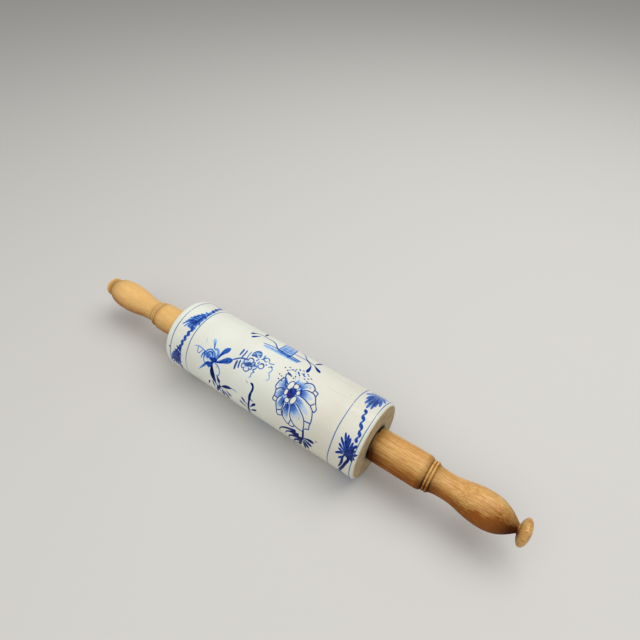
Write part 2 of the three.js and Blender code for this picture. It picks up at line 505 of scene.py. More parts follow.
def grime_and_shade_places(t):
    """Stations, in millimetres from the shoulder, with the share of darkening there: grime, and painted shade
    in the recesses and at the shoulder.
    """
    beads, neck, narrow, widest, stem = stations(t)
    width = t["bead_width"]
    # High shares at the shoulder, in the grooves and under the button are grime and painted shade together
    places = [(0.0, 1.0), (1.6, 0.95), (4.5, 0.6), (10.0, 0.27), (17.0, 0.05), (t["shank_length"] - 1, 0.06),
              (beads - 0.9, 0.6)]
    for k in range(BEAD_COUNT):
        groove = beads + k * width
        places += [(groove, 0.95), (groove + 0.35 * width, 0.0), (groove + 0.65 * width, 0.0)]
    places += [(neck, 0.95), (neck + 1.4, 0.45), (narrow - 3, 0.08), (widest, 0.02)]
    places += [(stem - 16, 0.12), (stem - 9, 0.45), (stem - 4, 0.78), (stem - 0.5, 0.95)]
    disc, under = stem + t["stem_length"], t["underside"]
    return places + [(disc + 0.05 * under, 0.5), (disc + 0.18 * under, 0.05), (HANDLE_LENGTH, 0.03)]


print("right stations", [round(x, 1) for x in stations(RIGHT_TURNING)])

# %% Wood finishes
WOOD_SHINE, POLISH_ROUGHNESS = 0.04, 0.42
WOOD_RELIEF, WOOD_RELIEF_DEPTH = 0.14, 0.2


def set_stops(ramp, stops):
    """Puts grey or colour stops on a ramp: (share, level or colour)."""
    elements = ramp.color_ramp.elements
    while len(elements) < len(stops):
        elements.new(0.5)
    for element, (share, level) in zip(elements, stops):
        element.position = share
        element.color = level if isinstance(level, (list, tuple)) else (level, level, level, 1.0)


def add_relief(tree, shader, height, strength, depth):
    """A fine relief that bends the light and not the mesh, with its depth in millimetres."""
    bump = tree.nodes.new("ShaderNodeBump")
    bump.inputs["Strength"].default_value = strength
    bump.inputs["Distance"].default_value = depth * MM
    feed(tree, bump.inputs["Height"], height)
    feed(tree, shader.inputs["Normal"], bump.outputs[0])


def wood_finish(name, given, turning=None):
    """Wood in its own tones, with grime and painted shade in the recesses of a turning."""
    finish, tree, shader = new_finish(name)
    grain = tree.nodes.new("ShaderNodeGroup")
    grain.node_tree = GRAIN
    for socket, value in given.items():
        grain.inputs[socket].default_value = value
    if turning:
        along = split(tree, tree.nodes.new("ShaderNodeTexCoord").outputs["Object"])["X"]
        station = maths(tree, "SUBTRACT", maths(tree, "ABSOLUTE", along), SHOULDER * MM)
        # A ramp along the handle of grime with painted shade in its recesses
        grime_and_shade_ramp = tree.nodes.new("ShaderNodeValToRGB")
        feed(tree, grime_and_shade_ramp.inputs[0], maths(tree, "DIVIDE", station, HANDLE_LENGTH * MM))
        set_stops(grime_and_shade_ramp, [(x / HANDLE_LENGTH, level) for x, level in grime_and_shade_places(turning)])
        feed(tree, grain.inputs["Settled grime"], grime_and_shade_ramp.outputs[0])
    for socket, output in (("Base Color", "Colour"), ("Roughness", "Roughness"), ("Coat Weight", "Polish")):
        feed(tree, shader.inputs[socket], grain.outputs[output])
    shader.inputs["Coat Roughness"].default_value = POLISH_ROUGHNESS
    shader.inputs["Specular IOR Level"].default_value = WOOD_SHINE
    add_relief(tree, shader, grain.outputs["Height"], WOOD_RELIEF, WOOD_RELIEF_DEPTH)
    return finish


LEFT_WOOD = wood_finish("left handle wood", {
    "Pale wood": linear(246, 202, 130), "Dark grain": linear(218, 164, 88), "Patina": linear(152, 92, 36),
    "Grime": linear(84, 46, 16), "Grain strength": 0.8, "Low side": 0.85, "Low from": 0.26, "Mottle": 0.15,
}, LEFT_TURNING)
RIGHT_WOOD = wood_finish("right handle wood", {
    "Pale wood": linear(244, 205, 130), "Dark grain": linear(188, 120, 40), "Patina": linear(132, 64, 5),
    "Grime": linear(62, 28, 6), "Grain strength": 1.1, "Low side": 0.9, "Low from": 0.76, "Mottle": 0.6,
}, RIGHT_TURNING)
AXLE_WOOD = wood_finish("axle wood", {
    "Pale wood": linear(206, 170, 116), "Dark grain": linear(168, 126, 74), "Patina": linear(140, 98, 52),
    "Grime": linear(84, 52, 24), "Grain strength": 0.8, "Low side": 0.0, "Low from": 0.0, "Mottle": 0.2,
})
PEG_WOOD = wood_finish("peg wood", {
    "Pale wood": linear(172, 122, 66), "Dark grain": linear(118, 74, 34), "Patina": linear(96, 58, 26),
    "Grime": linear(60, 34, 14), "Grain strength": 0.9, "Low side": 0.0, "Low from": 0.0, "Mottle": 0.4,
})
print("four wood finishes")

# %% [markdown]
# ## Handles
# Each handle is one turned piece: a straight shank that stops the barrel, two fine beads, a slim neck, a
# swelling grip, and a button on a short stem. A blind socket in the shank takes the axle. The outline is
# drawn with straight lines, quarter ellipses and Bezier curves, then turned. A peg hole is drilled from below
# with a Boolean.

# %% Outline of a handle
SOCKET_RADIUS, SOCKET_DEPTH, SHOULDER_CHAMFER = 8.3, 34.0, 0.6


def curve(a, b, c, d, steps=14):
    """Points along a Bezier curve, without its first."""
    t = np.linspace(0, 1, steps + 1)[1:, None]
    a, b, c, d = map(np.array, (a, b, c, d))
    return list((1 - t) ** 3 * a + 3 * (1 - t) ** 2 * t * b + 3 * (1 - t) * t**2 * c + t**3 * d)


def arc(station, base, across, high, start, end, steps=10):
    """Points along an ellipse about (station, base), from one angle to another, without its first."""
    a = np.radians(np.linspace(start, end, steps + 1)[1:])
    return list(np.stack([station + across * np.sin(a), base + high * np.cos(a)], 1))


def handle_outline(t):
    beads, neck, narrow, widest, stem = stations(t)
    lean = math.degrees(math.acos(t["stem"] / t["button"]))
    disc = stem + t["stem_length"] + t["underside"] * math.sin(math.radians(lean))
    edge, root = t["shank"] - SHOULDER_CHAMFER, t["bead_root"]
    line = [(SOCKET_DEPTH, 0.0), (SOCKET_DEPTH, SOCKET_RADIUS), (0.0, SOCKET_RADIUS), (0.0, edge)]
    line += arc(SHOULDER_CHAMFER, edge, SHOULDER_CHAMFER, SHOULDER_CHAMFER, -90, 0, 4)
    line += [(t["shank_length"] / 2, t["shank"]), (t["shank_length"], t["shank"])]
    line += arc(t["shank_length"], root, t["rounding"], t["shank"] - root, 0, 90, 12)
    for k in range(BEAD_COUNT):
        middle = beads + (k + 0.5) * t["bead_width"]
        line += arc(middle, root, t["bead_width"] / 2, t["bead_height"], -90, 90, 8)
    line += curve((neck, root), (neck + 0.25 * t["neck_length"], t["neck"]),
                  (narrow - 0.4 * t["neck_length"], t["neck"]), (narrow, t["neck"]), 12)
    line += curve((narrow, t["neck"]), (narrow + 0.37 * t["rise"], t["neck"]),
                  (widest - 0.45 * t["rise"], t["grip"]), (widest, t["grip"]), 18)
    full = t["stem"] + t["fullness"] * (t["grip"] - t["stem"])
    line += curve((widest, t["grip"]), (widest + 0.49 * t["fall"], t["grip"]),
                  (stem - 0.26 * t["fall"], full), (stem, t["stem"]), 18)
    line += [(stem + t["stem_length"], t["stem"])]
    line += arc(disc, 0.0, t["underside"], t["button"], -lean, 0, 8)
    line += arc(disc, 0.0, HANDLE_LENGTH - disc, t["button"], 0, 90, 12)
    line[-1] = (HANDLE_LENGTH, 0.0)
    return [(float(x), float(r)) for x, r in line]


print("right handle outline has", len(handle_outline(RIGHT_TURNING)), "points")

# %% Turn and drill the handles
HANDLE_FACETS, PEG_FACETS = 72, 24
PEG_RADIUS = 0.5 * (peg_high.x - peg_low.x) / MM
PEG_STATION = 0.5 * (peg_high.x + peg_low.x) / MM - SHOULDER
PEG_PLAY, DRILL_START = 0.3, 2.0
HANDLE_EDGE, PEG_EDGE = math.radians(38), math.radians(50)


def upright(piece, station):
    """Stands a piece that was turned along X on end, at a station of the pin, in the mesh itself."""
    piece.data.transform(Matrix.Translation((station * MM, 0, 0)) @ Matrix.Rotation(-math.pi / 2, 4, "Y"))


def drilled(piece, station, low, high, radius):
    """The piece with a round hole from below, cut by a Boolean that is then made plain."""
    drill = run_tree("drill", outline_mesh([(low, 0), (low, radius), (high, radius), (high, 0)]), LATHE,
                     Facets=PEG_FACETS, Finish=piece.data.materials[0])
    upright(drill, station)
    cut = piece.modifiers.new("peg hole", "BOOLEAN")
    cut.operation, cut.solver, cut.object = "DIFFERENCE", "EXACT", drill
    mesh = made_plain(piece)
    piece.modifiers.remove(cut)
    bpy.data.objects.remove(drill)
    piece.data = mesh
    mesh.name = piece.name


def handle(name, side, turning, finish):
    """One handle. side is 1 for the right and -1 for the left, which is the right one turned about."""
    corners = [(side * (SHOULDER + x), r) for x, r in handle_outline(turning)]
    piece = run_tree(name, outline_mesh(corners[::side]), LATHE, **{
        "Facets": HANDLE_FACETS, "Axis height": SPINDLE_HEIGHT * MM, "Finish": finish})
    low, high = peg_low.z / MM - DRILL_START, peg_high.z / MM + PEG_PLAY
    drilled(piece, side * (SHOULDER + PEG_STATION), low, high, PEG_RADIUS + PEG_PLAY)
    piece.data.set_sharp_from_angle(angle=HANDLE_EDGE)
    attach(piece, "spindle")
    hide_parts(name.replace("turned_", ""))
    print(name, len(piece.data.polygons), "faces")


handle("turned_right_handle", 1, RIGHT_TURNING, RIGHT_WOOD)
handle("turned_left_handle", -1, LEFT_TURNING, LEFT_WOOD)

# %% [markdown]
# ## Pegs and axle
# A whittled peg, driven in from below, locks each handle on the axle. It is a small turned piece with a blunt
# point, stood on end. The axle is a plain dowel that shows only in the narrow gaps beside the barrel, so the
# CAD node stays and takes a wood finish.

# %% Pegs and axle
def peg(name, side):
    """A peg with a small rounding at its head, below, and a whittled point above."""
    low, high = peg_low.z / MM, peg_high.z / MM
    line = [(low, 0.0), (low, PEG_RADIUS - 0.35), (low + 0.1, PEG_RADIUS - 0.1), (low + 0.4, PEG_RADIUS),
            (high - 4.0, PEG_RADIUS), (high - 0.5, PEG_RADIUS - 0.7), (high, PEG_RADIUS - 1.2), (high, 0.0)]
    piece = run_tree(name, outline_mesh(line), LATHE, Facets=PEG_FACETS, Finish=PEG_WOOD)
    upright(piece, side * (SHOULDER + PEG_STATION))
    piece.data.set_sharp_from_angle(angle=PEG_EDGE)
    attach(piece, "spindle")
    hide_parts(name.replace("whittled_", ""))


peg("whittled_right_peg", 1)
peg("whittled_left_peg", -1)
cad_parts["axle_rod"].data.materials[0] = AXLE_WOOD
print("two pegs, and the axle in its own wood")

# %% [markdown]
# ## Brush marks
# The painting is cobalt blue under the glaze: a flowering plant that comes twice round the barrel, between
# two leafy borders. A painter builds it from brush marks, and so does this notebook. The barrel is laid out
# flat: the first number of a place is millimetres along the pin, to the right, and the second is millimetres
# round it, from the top line towards the front. A mark has a middle line, a width that swells and thins, and
# a strength. A negative strength wipes the wet paint off again, as a dry brush does for a white petal. A
# little grey beside the cobalt dulls it to slate.

# %% The brush
MARKS = {  # share of a mark's full width at shares of its length
    "line": ((0.0, 0.6), (0.1, 1.0), (0.9, 1.0), (1.0, 0.6)),
    "leaf": ((0.0, 0.25), (0.3, 0.85), (0.5, 1.0), (0.75, 0.75), (1.0, 0.12)),
    "club": ((0.0, 0.2), (0.4, 0.6), (0.75, 1.0), (0.92, 0.88), (1.0, 0.5)),
    "tail": ((0.0, 0.7), (0.15, 1.0), (0.5, 0.75), (1.0, 0.15)),
    "oval": ((0.0, 0.3), (0.08, 0.54), (0.2, 0.8), (0.35, 0.95), (0.5, 1.0), (0.65, 0.95), (0.8, 0.8),
             (0.92, 0.54), (1.0, 0.3)),
    "tuft": ((0.0, 0.3), (0.25, 0.55), (0.55, 0.92), (0.8, 1.0), (0.94, 0.8), (1.0, 0.55)),
    "dot": ((0.0, 1.0), (1.0, 1.0)),
}
marks = []
# How far round the barrel the next marks go, how loaded the brush is, and the share of grey in its cobalt
turned_by, brush_load, grey_share = 0.0, 1.0, 0.0


def flowing(points, step=0.9):
    """A smooth line through the points, with a point about every step."""
    p = np.array(points, float)
    ends = np.vstack([2 * p[0] - p[1], p, 2 * p[-1] - p[-2]])
    line = []
    for a, b, c, d in zip(ends, ends[1:], ends[2:], ends[3:]):
        t = np.linspace(0, 1, max(2, int(np.linalg.norm(c - b) / step) + 1), endpoint=False)[:, None]
        bend, twist = 2 * a - 5 * b + 4 * c - d, 3 * b - a - 3 * c + d
        line.append(b + 0.5 * ((c - a) * t + bend * t**2 + twist * t**3))
    return np.vstack([*line, p[-1:]])


def brush(points, width, strength=0.9, mark="line", soft=0.3, pigment="cobalt"):
    """One mark. A pair of strengths fades from one to the other, and soft is the share that fades out."""
    spine = flowing(points) + (0, turned_by)
    length = np.r_[0, np.cumsum(np.linalg.norm(np.diff(spine, axis=0), axis=1))]
    share = length / length[-1]
    first, last = np.multiply(brush_load, strength if isinstance(strength, tuple) else (strength, strength))
    half = 0.5 * width * np.interp(share, *np.array(MARKS[mark]).T)
    strengths = first + (last - first) * share
    marks.append({"spine": spine, "half": half, "strength": strengths, "soft": soft, "pigment": pigment})
    if pigment == "cobalt" and grey_share:
        marks.append({**marks[-1], "strength": grey_share * strengths, "pigment": "grey"})


def dot(place, width, strength=0.8, pigment="cobalt"):
    """A round touch of the brush's tip."""
    x, s = place
    brush([(x - 0.08 * width, s), (x + 0.08 * width, s + 0.02)], width, strength, "dot", 0.3, pigment)


def slate(points, width, cobalt, grey):
    """A line in cobalt that a little grey has dulled to slate."""
    brush(points, width, cobalt)
    brush(points, width, grey, pigment="grey")


def shade(foot_a, foot_b, end_a, end_b, count, strength, width=1.5):
    """The shading of a petal: hairs from its foot that fade towards its edge."""
    for k in range(count):
        t = k / (count - 1)
        foot = np.array(foot_a) * (1 - t) + np.array(foot_b) * t
        end = np.array(end_a) * (1 - t) + np.array(end_b) * t
        end = foot + (end - foot) * (1.0 if k % 2 else 0.8)
        if k % 2 == 0:
            brush([foot, (foot + end) / 2, end], 1.5 * width, (0.75 * strength, 0.14), "tail", 0.75)
        brush([foot, (foot + end) / 2, end], 0.42 * width, (1.25 * strength, 0.4), "tail", 0.35)


def white_petal(centre, across, along, lean):
    """A petal that is wiped clean and then ringed with a line."""
    c, s = math.cos(math.radians(lean)), math.sin(math.radians(lean))
    tip = np.array([-s, c]) * along
    brush([centre - tip, np.array(centre), centre + tip], 2 * across, -1.0, "oval", 0.15)
    a = np.linspace(0, 2 * np.pi, 13)
    x, y = across * np.cos(a), along * np.sin(a)
    slate(np.array(centre) + np.stack([c * x - s * y, s * x + c * y], 1), 0.9, 0.74, 0.42)


def vine(points, width, strength):
    """A vine that turns from side to side: full strokes one way, and thin ones back."""
    for k, (start, end) in enumerate(zip(points, points[1:])):
        middle, full = (np.array(start) + end) / 2, k % 2 == 0
        brush([start, middle, end], width if full else 0.5 * width, strength if full else 0.8 * strength,
              "oval" if full else "line", 0.35)


def fern(root, heart, tips, width, strength):
    """A leaf tuft: fingers that leave a short rib and end at the tips."""
    root, heart = np.array(root), np.array(heart)
    rib = heart - root
    for tip in np.array(tips):
        reach = np.clip(np.dot(tip - root, rib) / np.dot(rib, rib), 0, 1)
        foot = root + 0.8 * reach * rib
        across = np.array([-(tip - foot)[1], (tip - foot)[0]])
        brush([foot, (foot + tip) / 2 + 0.12 * np.sign(reach - 0.5) * across, tip], width, strength, "club")
    brush([root, (root + heart) / 2, heart], 1.6 * width, strength, "leaf")


def fan(root, tips, width, strength):
    """A leaf tuft whose fingers all leave one root and grow darker towards their tips."""
    for tip in np.array(tips):
        foot = 0.85 * np.array(root) + 0.15 * tip
        brush([foot, (foot + tip) / 2, tip], width, strength, "club", 0.25)


print("marks:", ", ".join(MARKS))

# %% [markdown]
# ## The flowering plant
# The great blossom has a dark heart, six small white petals and eight outlined outer petals, shaded with
# hairs from the middle. A bud, a spray of small blossoms, a curled sprout and leaf tufts fill the rest, and a
# trunk rises from a strip of ground. Each part is a short function of brush marks.

# %% The great blossom
def great_blossom():
    """The blossom, from its washes and hairs to its outlines, white petals, heart and stamens."""
    ring = np.linspace(0, 2 * np.pi, 15)
    brush(np.stack([31.4 + 5.6 * np.cos(ring), 16.2 + 7.4 * np.sin(ring)], 1), 4.2, 0.26, "line", 0.8)
    washes = (
        ((24.4, 12.0), (21.4, 13.4), (18.6, 15.4)), ((24.6, 19.6), (22.4, 21.0), (20.4, 23.4)),
        ((27.6, 23.4), (26.4, 26.8), (26.0, 30.6)), ((35.6, 23.6), (37.6, 25.6), (40.0, 27.6)),
        ((37.0, 13.0), (42.0, 12.6), (47.4, 13.2)), ((31.6, 25.0), (33.0, 29.6), (34.8, 34.4)),
        ((37.4, 19.0), (43.0, 20.6), (49.4, 24.0)), ((33.0, 8.0), (37.0, 6.6), (41.6, 5.8)),
    )
    for wash in washes:
        brush(wash, 6.4, 0.15, "oval", 0.6)
        brush(wash, 6.4, 0.13, "oval", 0.6, "grey")
    hairs = (  # both ends of a petal's foot and of its edge, number of hairs, strength and width
        ((30.0, 8.8), (36.4, 10.4), (30.4, 4.4), (41.0, 5.4), 9, 0.34, 2.0),
        ((36.4, 11.0), (37.6, 15.4), (44.4, 10.2), (45.6, 15.2), 8, 0.4, 2.0),
        ((37.2, 17.0), (37.4, 20.6), (44.4, 17.8), (46.0, 23.4), 6, 0.24, 2.0),
        ((36.6, 21.6), (34.6, 24.8), (49.0, 30.0), (41.2, 34.6), 12, 0.3, 1.3),
        ((33.8, 24.6), (30.6, 24.4), (36.6, 36.0), (32.4, 35.6), 8, 0.36, 1.5),
        ((29.4, 23.8), (26.2, 21.8), (28.8, 31.6), (24.0, 31.0), 8, 0.38, 1.5),
        ((25.8, 20.8), (25.2, 17.4), (20.0, 25.4), (19.6, 18.8), 7, 0.34, 1.6),
        ((25.4, 16.6), (24.4, 13.2), (17.6, 17.6), (18.9, 11.0), 8, 0.36, 1.6),
        ((23.2, 10.6), (25.6, 12.6), (19.6, 7.0), (19.4, 11.2), 6, 0.34, 1.4),
    )
    for petal in hairs:
        shade(*petal)
    brush([(35.4, 24.0), (37.2, 23.2), (40.0, 23.8)], 2.4, (0.8, 0.3), "tail", 0.6)
    brush([(36.2, 11.4), (37.8, 12.8), (39.8, 14.2)], 2.2, (0.65, 0.2), "tail", 0.6)
    brush([(28.8, 24.2), (28.2, 26.6), (27.8, 29.4)], 1.7, (0.8, 0.3), "tail", 0.5)
    brush([(32.6, 24.8), (33.2, 26.8), (33.8, 29.0)], 1.8, (0.75, 0.2), "tail", 0.5)
    petal_edges = (
        ((35.5, 6.3), (37.0, 4.6), (39.5, 3.3), (42.0, 3.3), (44.3, 4.6), (45.3, 6.2), (44.9, 8.7)),
        ((38.2, 10.2), (41.0, 9.2), (44.9, 8.8), (47.3, 9.4), (49.3, 11.0), (51.0, 13.6), (52.8, 16.0)),
        ((45.3, 6.0), (47.2, 6.6), (49.0, 7.2), (48.8, 8.6), (48.9, 10.6)),
        ((38.6, 15.4), (42.0, 15.6), (45.2, 16.4), (48.3, 17.2), (49.8, 16.1), (51.0, 14.4)),
        ((52.8, 16.0), (54.1, 17.8), (53.4, 20.2), (51.4, 19.4), (48.3, 17.2)),
        ((51.4, 19.4), (52.9, 21.8), (54.0, 24.6), (54.5, 28.0), (54.3, 30.5), (54.8, 33.2), (52.8, 34.0),
         (51.0, 35.4)),
        ((37.0, 21.2), (40.5, 22.4), (44.2, 24.6), (47.6, 27.2), (49.0, 29.2), (50.2, 32.0), (50.6, 35.0),
         (51.0, 38.0)),
        ((49.0, 29.1), (51.5, 29.0), (54.4, 28.5)),
        ((35.3, 25.0), (36.5, 29.0), (37.6, 32.0), (40.0, 34.8), (43.0, 36.8), (46.0, 37.6), (50.6, 37.9)),
        ((31.0, 27.0), (30.6, 31.0), (31.6, 34.6), (33.2, 36.6), (35.5, 38.2), (37.9, 38.9), (38.5, 37.0),
         (38.9, 34.4)),
        ((37.9, 38.9), (40.0, 39.3), (41.8, 39.0), (42.8, 37.5), (43.2, 36.8)),
        ((25.8, 21.8), (24.0, 23.2), (23.0, 25.5), (23.3, 28.4), (24.6, 31.4), (25.6, 33.4), (26.1, 35.0),
         (27.4, 36.4), (29.0, 36.0), (31.4, 35.0)),
        ((25.4, 33.0), (27.5, 32.3), (29.2, 31.2), (30.0, 33.0), (31.2, 35.2)),
        ((29.4, 25.0), (29.5, 28.0), (29.2, 31.2)),
        ((17.4, 18.4), (18.6, 19.3), (19.3, 21.4), (19.8, 24.0), (19.6, 27.3), (22.9, 28.0)),
        ((19.8, 24.2), (21.4, 24.6), (23.2, 24.5)),
        ((25.2, 17.4), (22.6, 17.0), (20.6, 17.9), (19.3, 20.0)),
        ((17.4, 18.6), (17.4, 16.0), (18.0, 13.0), (19.1, 10.6), (20.4, 9.4)),
        ((22.8, 5.4), (21.0, 5.4), (19.6, 6.1), (20.0, 8.2), (21.4, 10.6), (23.6, 12.8), (25.6, 15.2)),
    )
    for edge in petal_edges:
        slate(edge, 1.1, 0.76, 0.46)
    inner_petals = (((27.7, 11.9), 2.1, 3.6, 14), ((32.0, 10.8), 2.1, 2.2, 0), ((35.8, 14.1), 1.55, 1.9, 0),
                    ((35.0, 20.4), 2.0, 3.5, 16), ((30.5, 22.6), 1.95, 2.0, 0), ((27.0, 17.9), 1.5, 2.5, 0))
    for petal in inner_petals:
        white_petal(*petal)
    brush([(32.4, 13.2), (31.4, 16.5), (30.5, 19.8)], 6.8, 0.9, "oval", 0.12)
    brush([(31.2, 16.8), (30.2, 18.6), (29.4, 19.8)], 4.6, 0.75, "club", 0.6, "violet")
    brush([(37.4, 18.6), (40.6, 18.8), (44.0, 19.8)], 3.6, 0.4, "tail", 0.8, "violet")
    brush([(24.6, 19.0), (22.6, 19.8), (21.2, 21.6)], 3.0, 0.25, "tail", 0.8, "violet")
    stamens = ((18.1, 0.1), (15.2, 2.2), (21.2, 0.6), (23.3, -1.0), (23.4, 0.5), (26.1, -2.2), (28.3, 2.0),
               (30.4, -1.0), (34.4, -1.4), (18.2, 3.4), (21.5, 5.3), (23.7, 5.8), (26.5, 4.6), (26.0, 6.4),
               (14.8, 8.9), (17.0, 9.5), (19.2, 9.7), (21.0, 9.4), (16.1, 12.3), (19.2, 12.4))
    for place in stamens:
        dot(place, 1.25, 0.9)
        dot(place, 1.25, 0.5, "grey")
    flecks = ((24.6, -2.8), (27.6, -3.4), (28.6, -0.6), (32.2, -2.6), (32.6, 2.4), (34.8, 0.8), (36.6, -0.6),
              (35.6, 3.2))
    for x, s in flecks:
        slate([(x, s), (x + 0.8, s + 0.3), (x + 1.7, s + 0.4)], 1.0, 0.6, 0.4)
    brush([(19.8, 4.6), (21.4, 5.2), (23.0, 5.4)], 1.9, 0.92)
    brush([(25.8, 0.0), (27.0, 1.0), (28.5, 2.2)], 1.6, 0.8, "tail")
    brush([(18.4, 3.4), (19.6, 2.0), (21.4, 0.7), (24.0, 0.9)], 0.9, 0.32)
    brush([(24.0, 0.8), (26.2, 3.6), (28.2, 7.4)], 0.8, 0.24)
    brush([(30.3, -0.9), (31.2, 0.4), (32.8, 0.6)], 1.4, 0.6)
    brush([(28.6, 2.4), (30.0, 4.4), (31.0, 6.6)], 0.8, 0.24)


def blossom_stem():
    """The stem below the blossom, with its leaves."""
    brush([(50.8, 35.6), (51.2, 38.0), (51.8, 41.5), (51.4, 46.0)], 2.0, 1.0)
    brush([(51.4, 46.0), (50.0, 51.0), (44.0, 57.0), (32.0, 62.0), (16.0, 65.0), (2.0, 66.0)], 1.8, 0.95)
    brush([(52.0, 43.4), (56.0, 42.1), (61.0, 41.8)], 3.5, 1.0, "club")
    brush([(52.2, 44.2), (56.0, 45.1), (59.4, 47.0)], 3.7, 1.0, "club")
    brush([(44.4, 40.9), (41.0, 42.3), (37.4, 43.5), (34.0, 45.2), (31.0, 48.4), (29.8, 53.0)],
          2.6, 1.0, "tail")
    brush([(45.4, 41.6), (42.8, 42.4), (40.0, 43.4)], 3.2, 1.0, "leaf")
    brush([(47.4, 42.6), (43.6, 44.4), (39.6, 45.6), (36.8, 48.0), (36.0, 51.6)], 2.9, 1.0, "tail")
    brush([(48.4, 43.6), (45.4, 45.0), (42.4, 46.4)], 3.4, 1.0, "leaf")
    brush([(50.2, 44.6), (46.0, 47.0), (41.8, 48.8), (39.2, 52.0), (38.4, 57.0)], 3.2, 1.0, "tail")
    brush([(51.0, 46.4), (47.6, 49.4), (44.4, 52.4), (43.0, 57.6)], 3.4, 1.0, "tail")
    brush([(51.4, 46.6), (49.8, 51.0), (48.4, 57.0)], 3.0, 1.0, "leaf")
    brush([(53.0, 45.6), (55.6, 48.8), (57.4, 54.0)], 3.2, 1.0, "leaf")
    brush([(52.4, 46.4), (53.8, 51.0), (53.6, 57.4)], 3.2, 1.0, "leaf")


print("the great blossom and its stem are drawn")

# %% The curled sprout and the bud
def curled_sprout():
    """The sprout that curls over at its top."""
    brush([(-2.3, 26.1), (-0.6, 26.4), (0.7, 28.2), (0.9, 30.4), (0.3, 33.6)], 2.1, 1.0)
    brush([(0.8, 29.6), (0.3, 33.4), (0.0, 36.6), (0.1, 40.0), (-0.3, 44.6)], 3.0, 1.0, "leaf")
    brush([(0.1, 40.0), (-0.4, 46.0), (-0.8, 52.0), (-1.6, 58.0), (-1.4, 66.0)], 2.2, 1.0)
    brush([(0.8, 38.0), (2.3, 38.7), (3.6, 39.4)], 1.0, 0.85)
    brush([(1.2, 46.6), (3.4, 43.6), (6.0, 40.3)], 2.8, 1.0, "club")
    brush([(-1.2, 46.8), (-4.6, 44.4), (-7.4, 42.0)], 2.6, 1.0, "club")
    brush([(-1.2, 51.6), (-5.4, 49.2), (-9.4, 47.0)], 2.6, 1.0, "club")
    brush([(0.4, 51.8), (3.8, 49.0), (7.2, 46.4)], 2.6, 1.0, "club")


def bud():
    """The bud, its curled tip and its long sepals."""
    brush([(-39.2, 25.4), (-45.2, 23.8), (-52.2, 25.4)], 11.5, 0.32, "oval", 0.6)
    brush([(-45.6, 17.6), (-47.0, 15.0), (-48.6, 12.6), (-50.0, 11.2)], 4.4, (0.5, 0.22), "club", 0.6)
    brush([(-45.6, 17.8), (-46.6, 15.6), (-48.0, 13.4)], 1.5, 0.6, "tail", 0.4)
    brush([(-38.4, 23.2), (-37.2, 19.0), (-35.4, 15.4), (-33.0, 12.0)], 5.1, 0.64, "club", 0.25)
    brush([(-38.2, 22.8), (-36.6, 18.4), (-34.2, 14.6)], 1.4, 0.5, "leaf", 0.5)
    brush([(-39.2, 26.9), (-35.6, 24.8), (-31.0, 21.6), (-26.4, 18.9)], 5.8, 0.66, "club", 0.25)
    brush([(-38.6, 26.6), (-34.0, 24.0), (-29.0, 20.8)], 1.8, 0.45, "leaf", 0.5)
    brush([(-39.2, 25.2), (-39.6, 20.6), (-41.8, 17.4), (-44.8, 18.0)], 3.0, 0.4, "line", 0.5)
    brush([(-41.0, 24.4), (-42.4, 21.6), (-44.4, 19.8)], 1.6, 0.46, "line", 0.5)
    brush([(-43.6, 25.6), (-44.2, 22.4), (-45.6, 20.6)], 1.4, 0.4, "line", 0.5)
    brush([(-44.2, 20.3), (-47.2, 19.3), (-50.0, 20.8), (-51.8, 23.4), (-54.6, 22.8), (-58.0, 22.3),
           (-61.6, 22.7), (-63.9, 23.9)], 1.2, (0.62, 0.3))
    brush([(-44.4, 22.6), (-46.8, 21.2), (-48.8, 22.6), (-49.2, 25.4), (-47.8, 27.4)], 1.6, 0.52, "line", 0.5)
    brush([(-46.0, 24.4), (-47.4, 23.6), (-48.0, 25.2), (-47.0, 26.2)], 1.6, 0.5, "line", 0.5)
    brush([(-50.2, 23.6), (-51.6, 27.2), (-50.6, 30.6), (-48.6, 31.8)], 1.8, 0.4, "line", 0.5)
    brush([(-52.0, 23.8), (-53.6, 26.4), (-53.8, 29.8)], 1.5, (0.62, 0.45))
    brush([(-54.8, 22.9), (-55.8, 25.0), (-57.2, 27.2), (-58.8, 27.2), (-59.6, 25.0), (-60.0, 22.8)],
          1.1, 0.46)
    brush([(-39.8, 25.2), (-43.0, 26.2), (-47.4, 25.4)], 4.4, (0.9, 0.5), "tail")
    brush([(-39.4, 26.2), (-41.2, 27.6), (-43.0, 30.2), (-45.2, 32.6)], 4.8, (0.9, 0.66), "club")
    brush([(-45.8, 29.8), (-48.0, 32.6), (-50.2, 35.6), (-52.6, 38.6), (-54.0, 40.8)], 3.0, (0.72, 0.4),
          "tail")
    brush([(-44.0, 29.4), (-46.2, 30.6), (-48.2, 31.6)], 2.0, 0.4, "line", 0.6)
    brush([(-56.4, 13.4), (-55.9, 14.8), (-55.1, 17.0)], 0.9, 0.22)


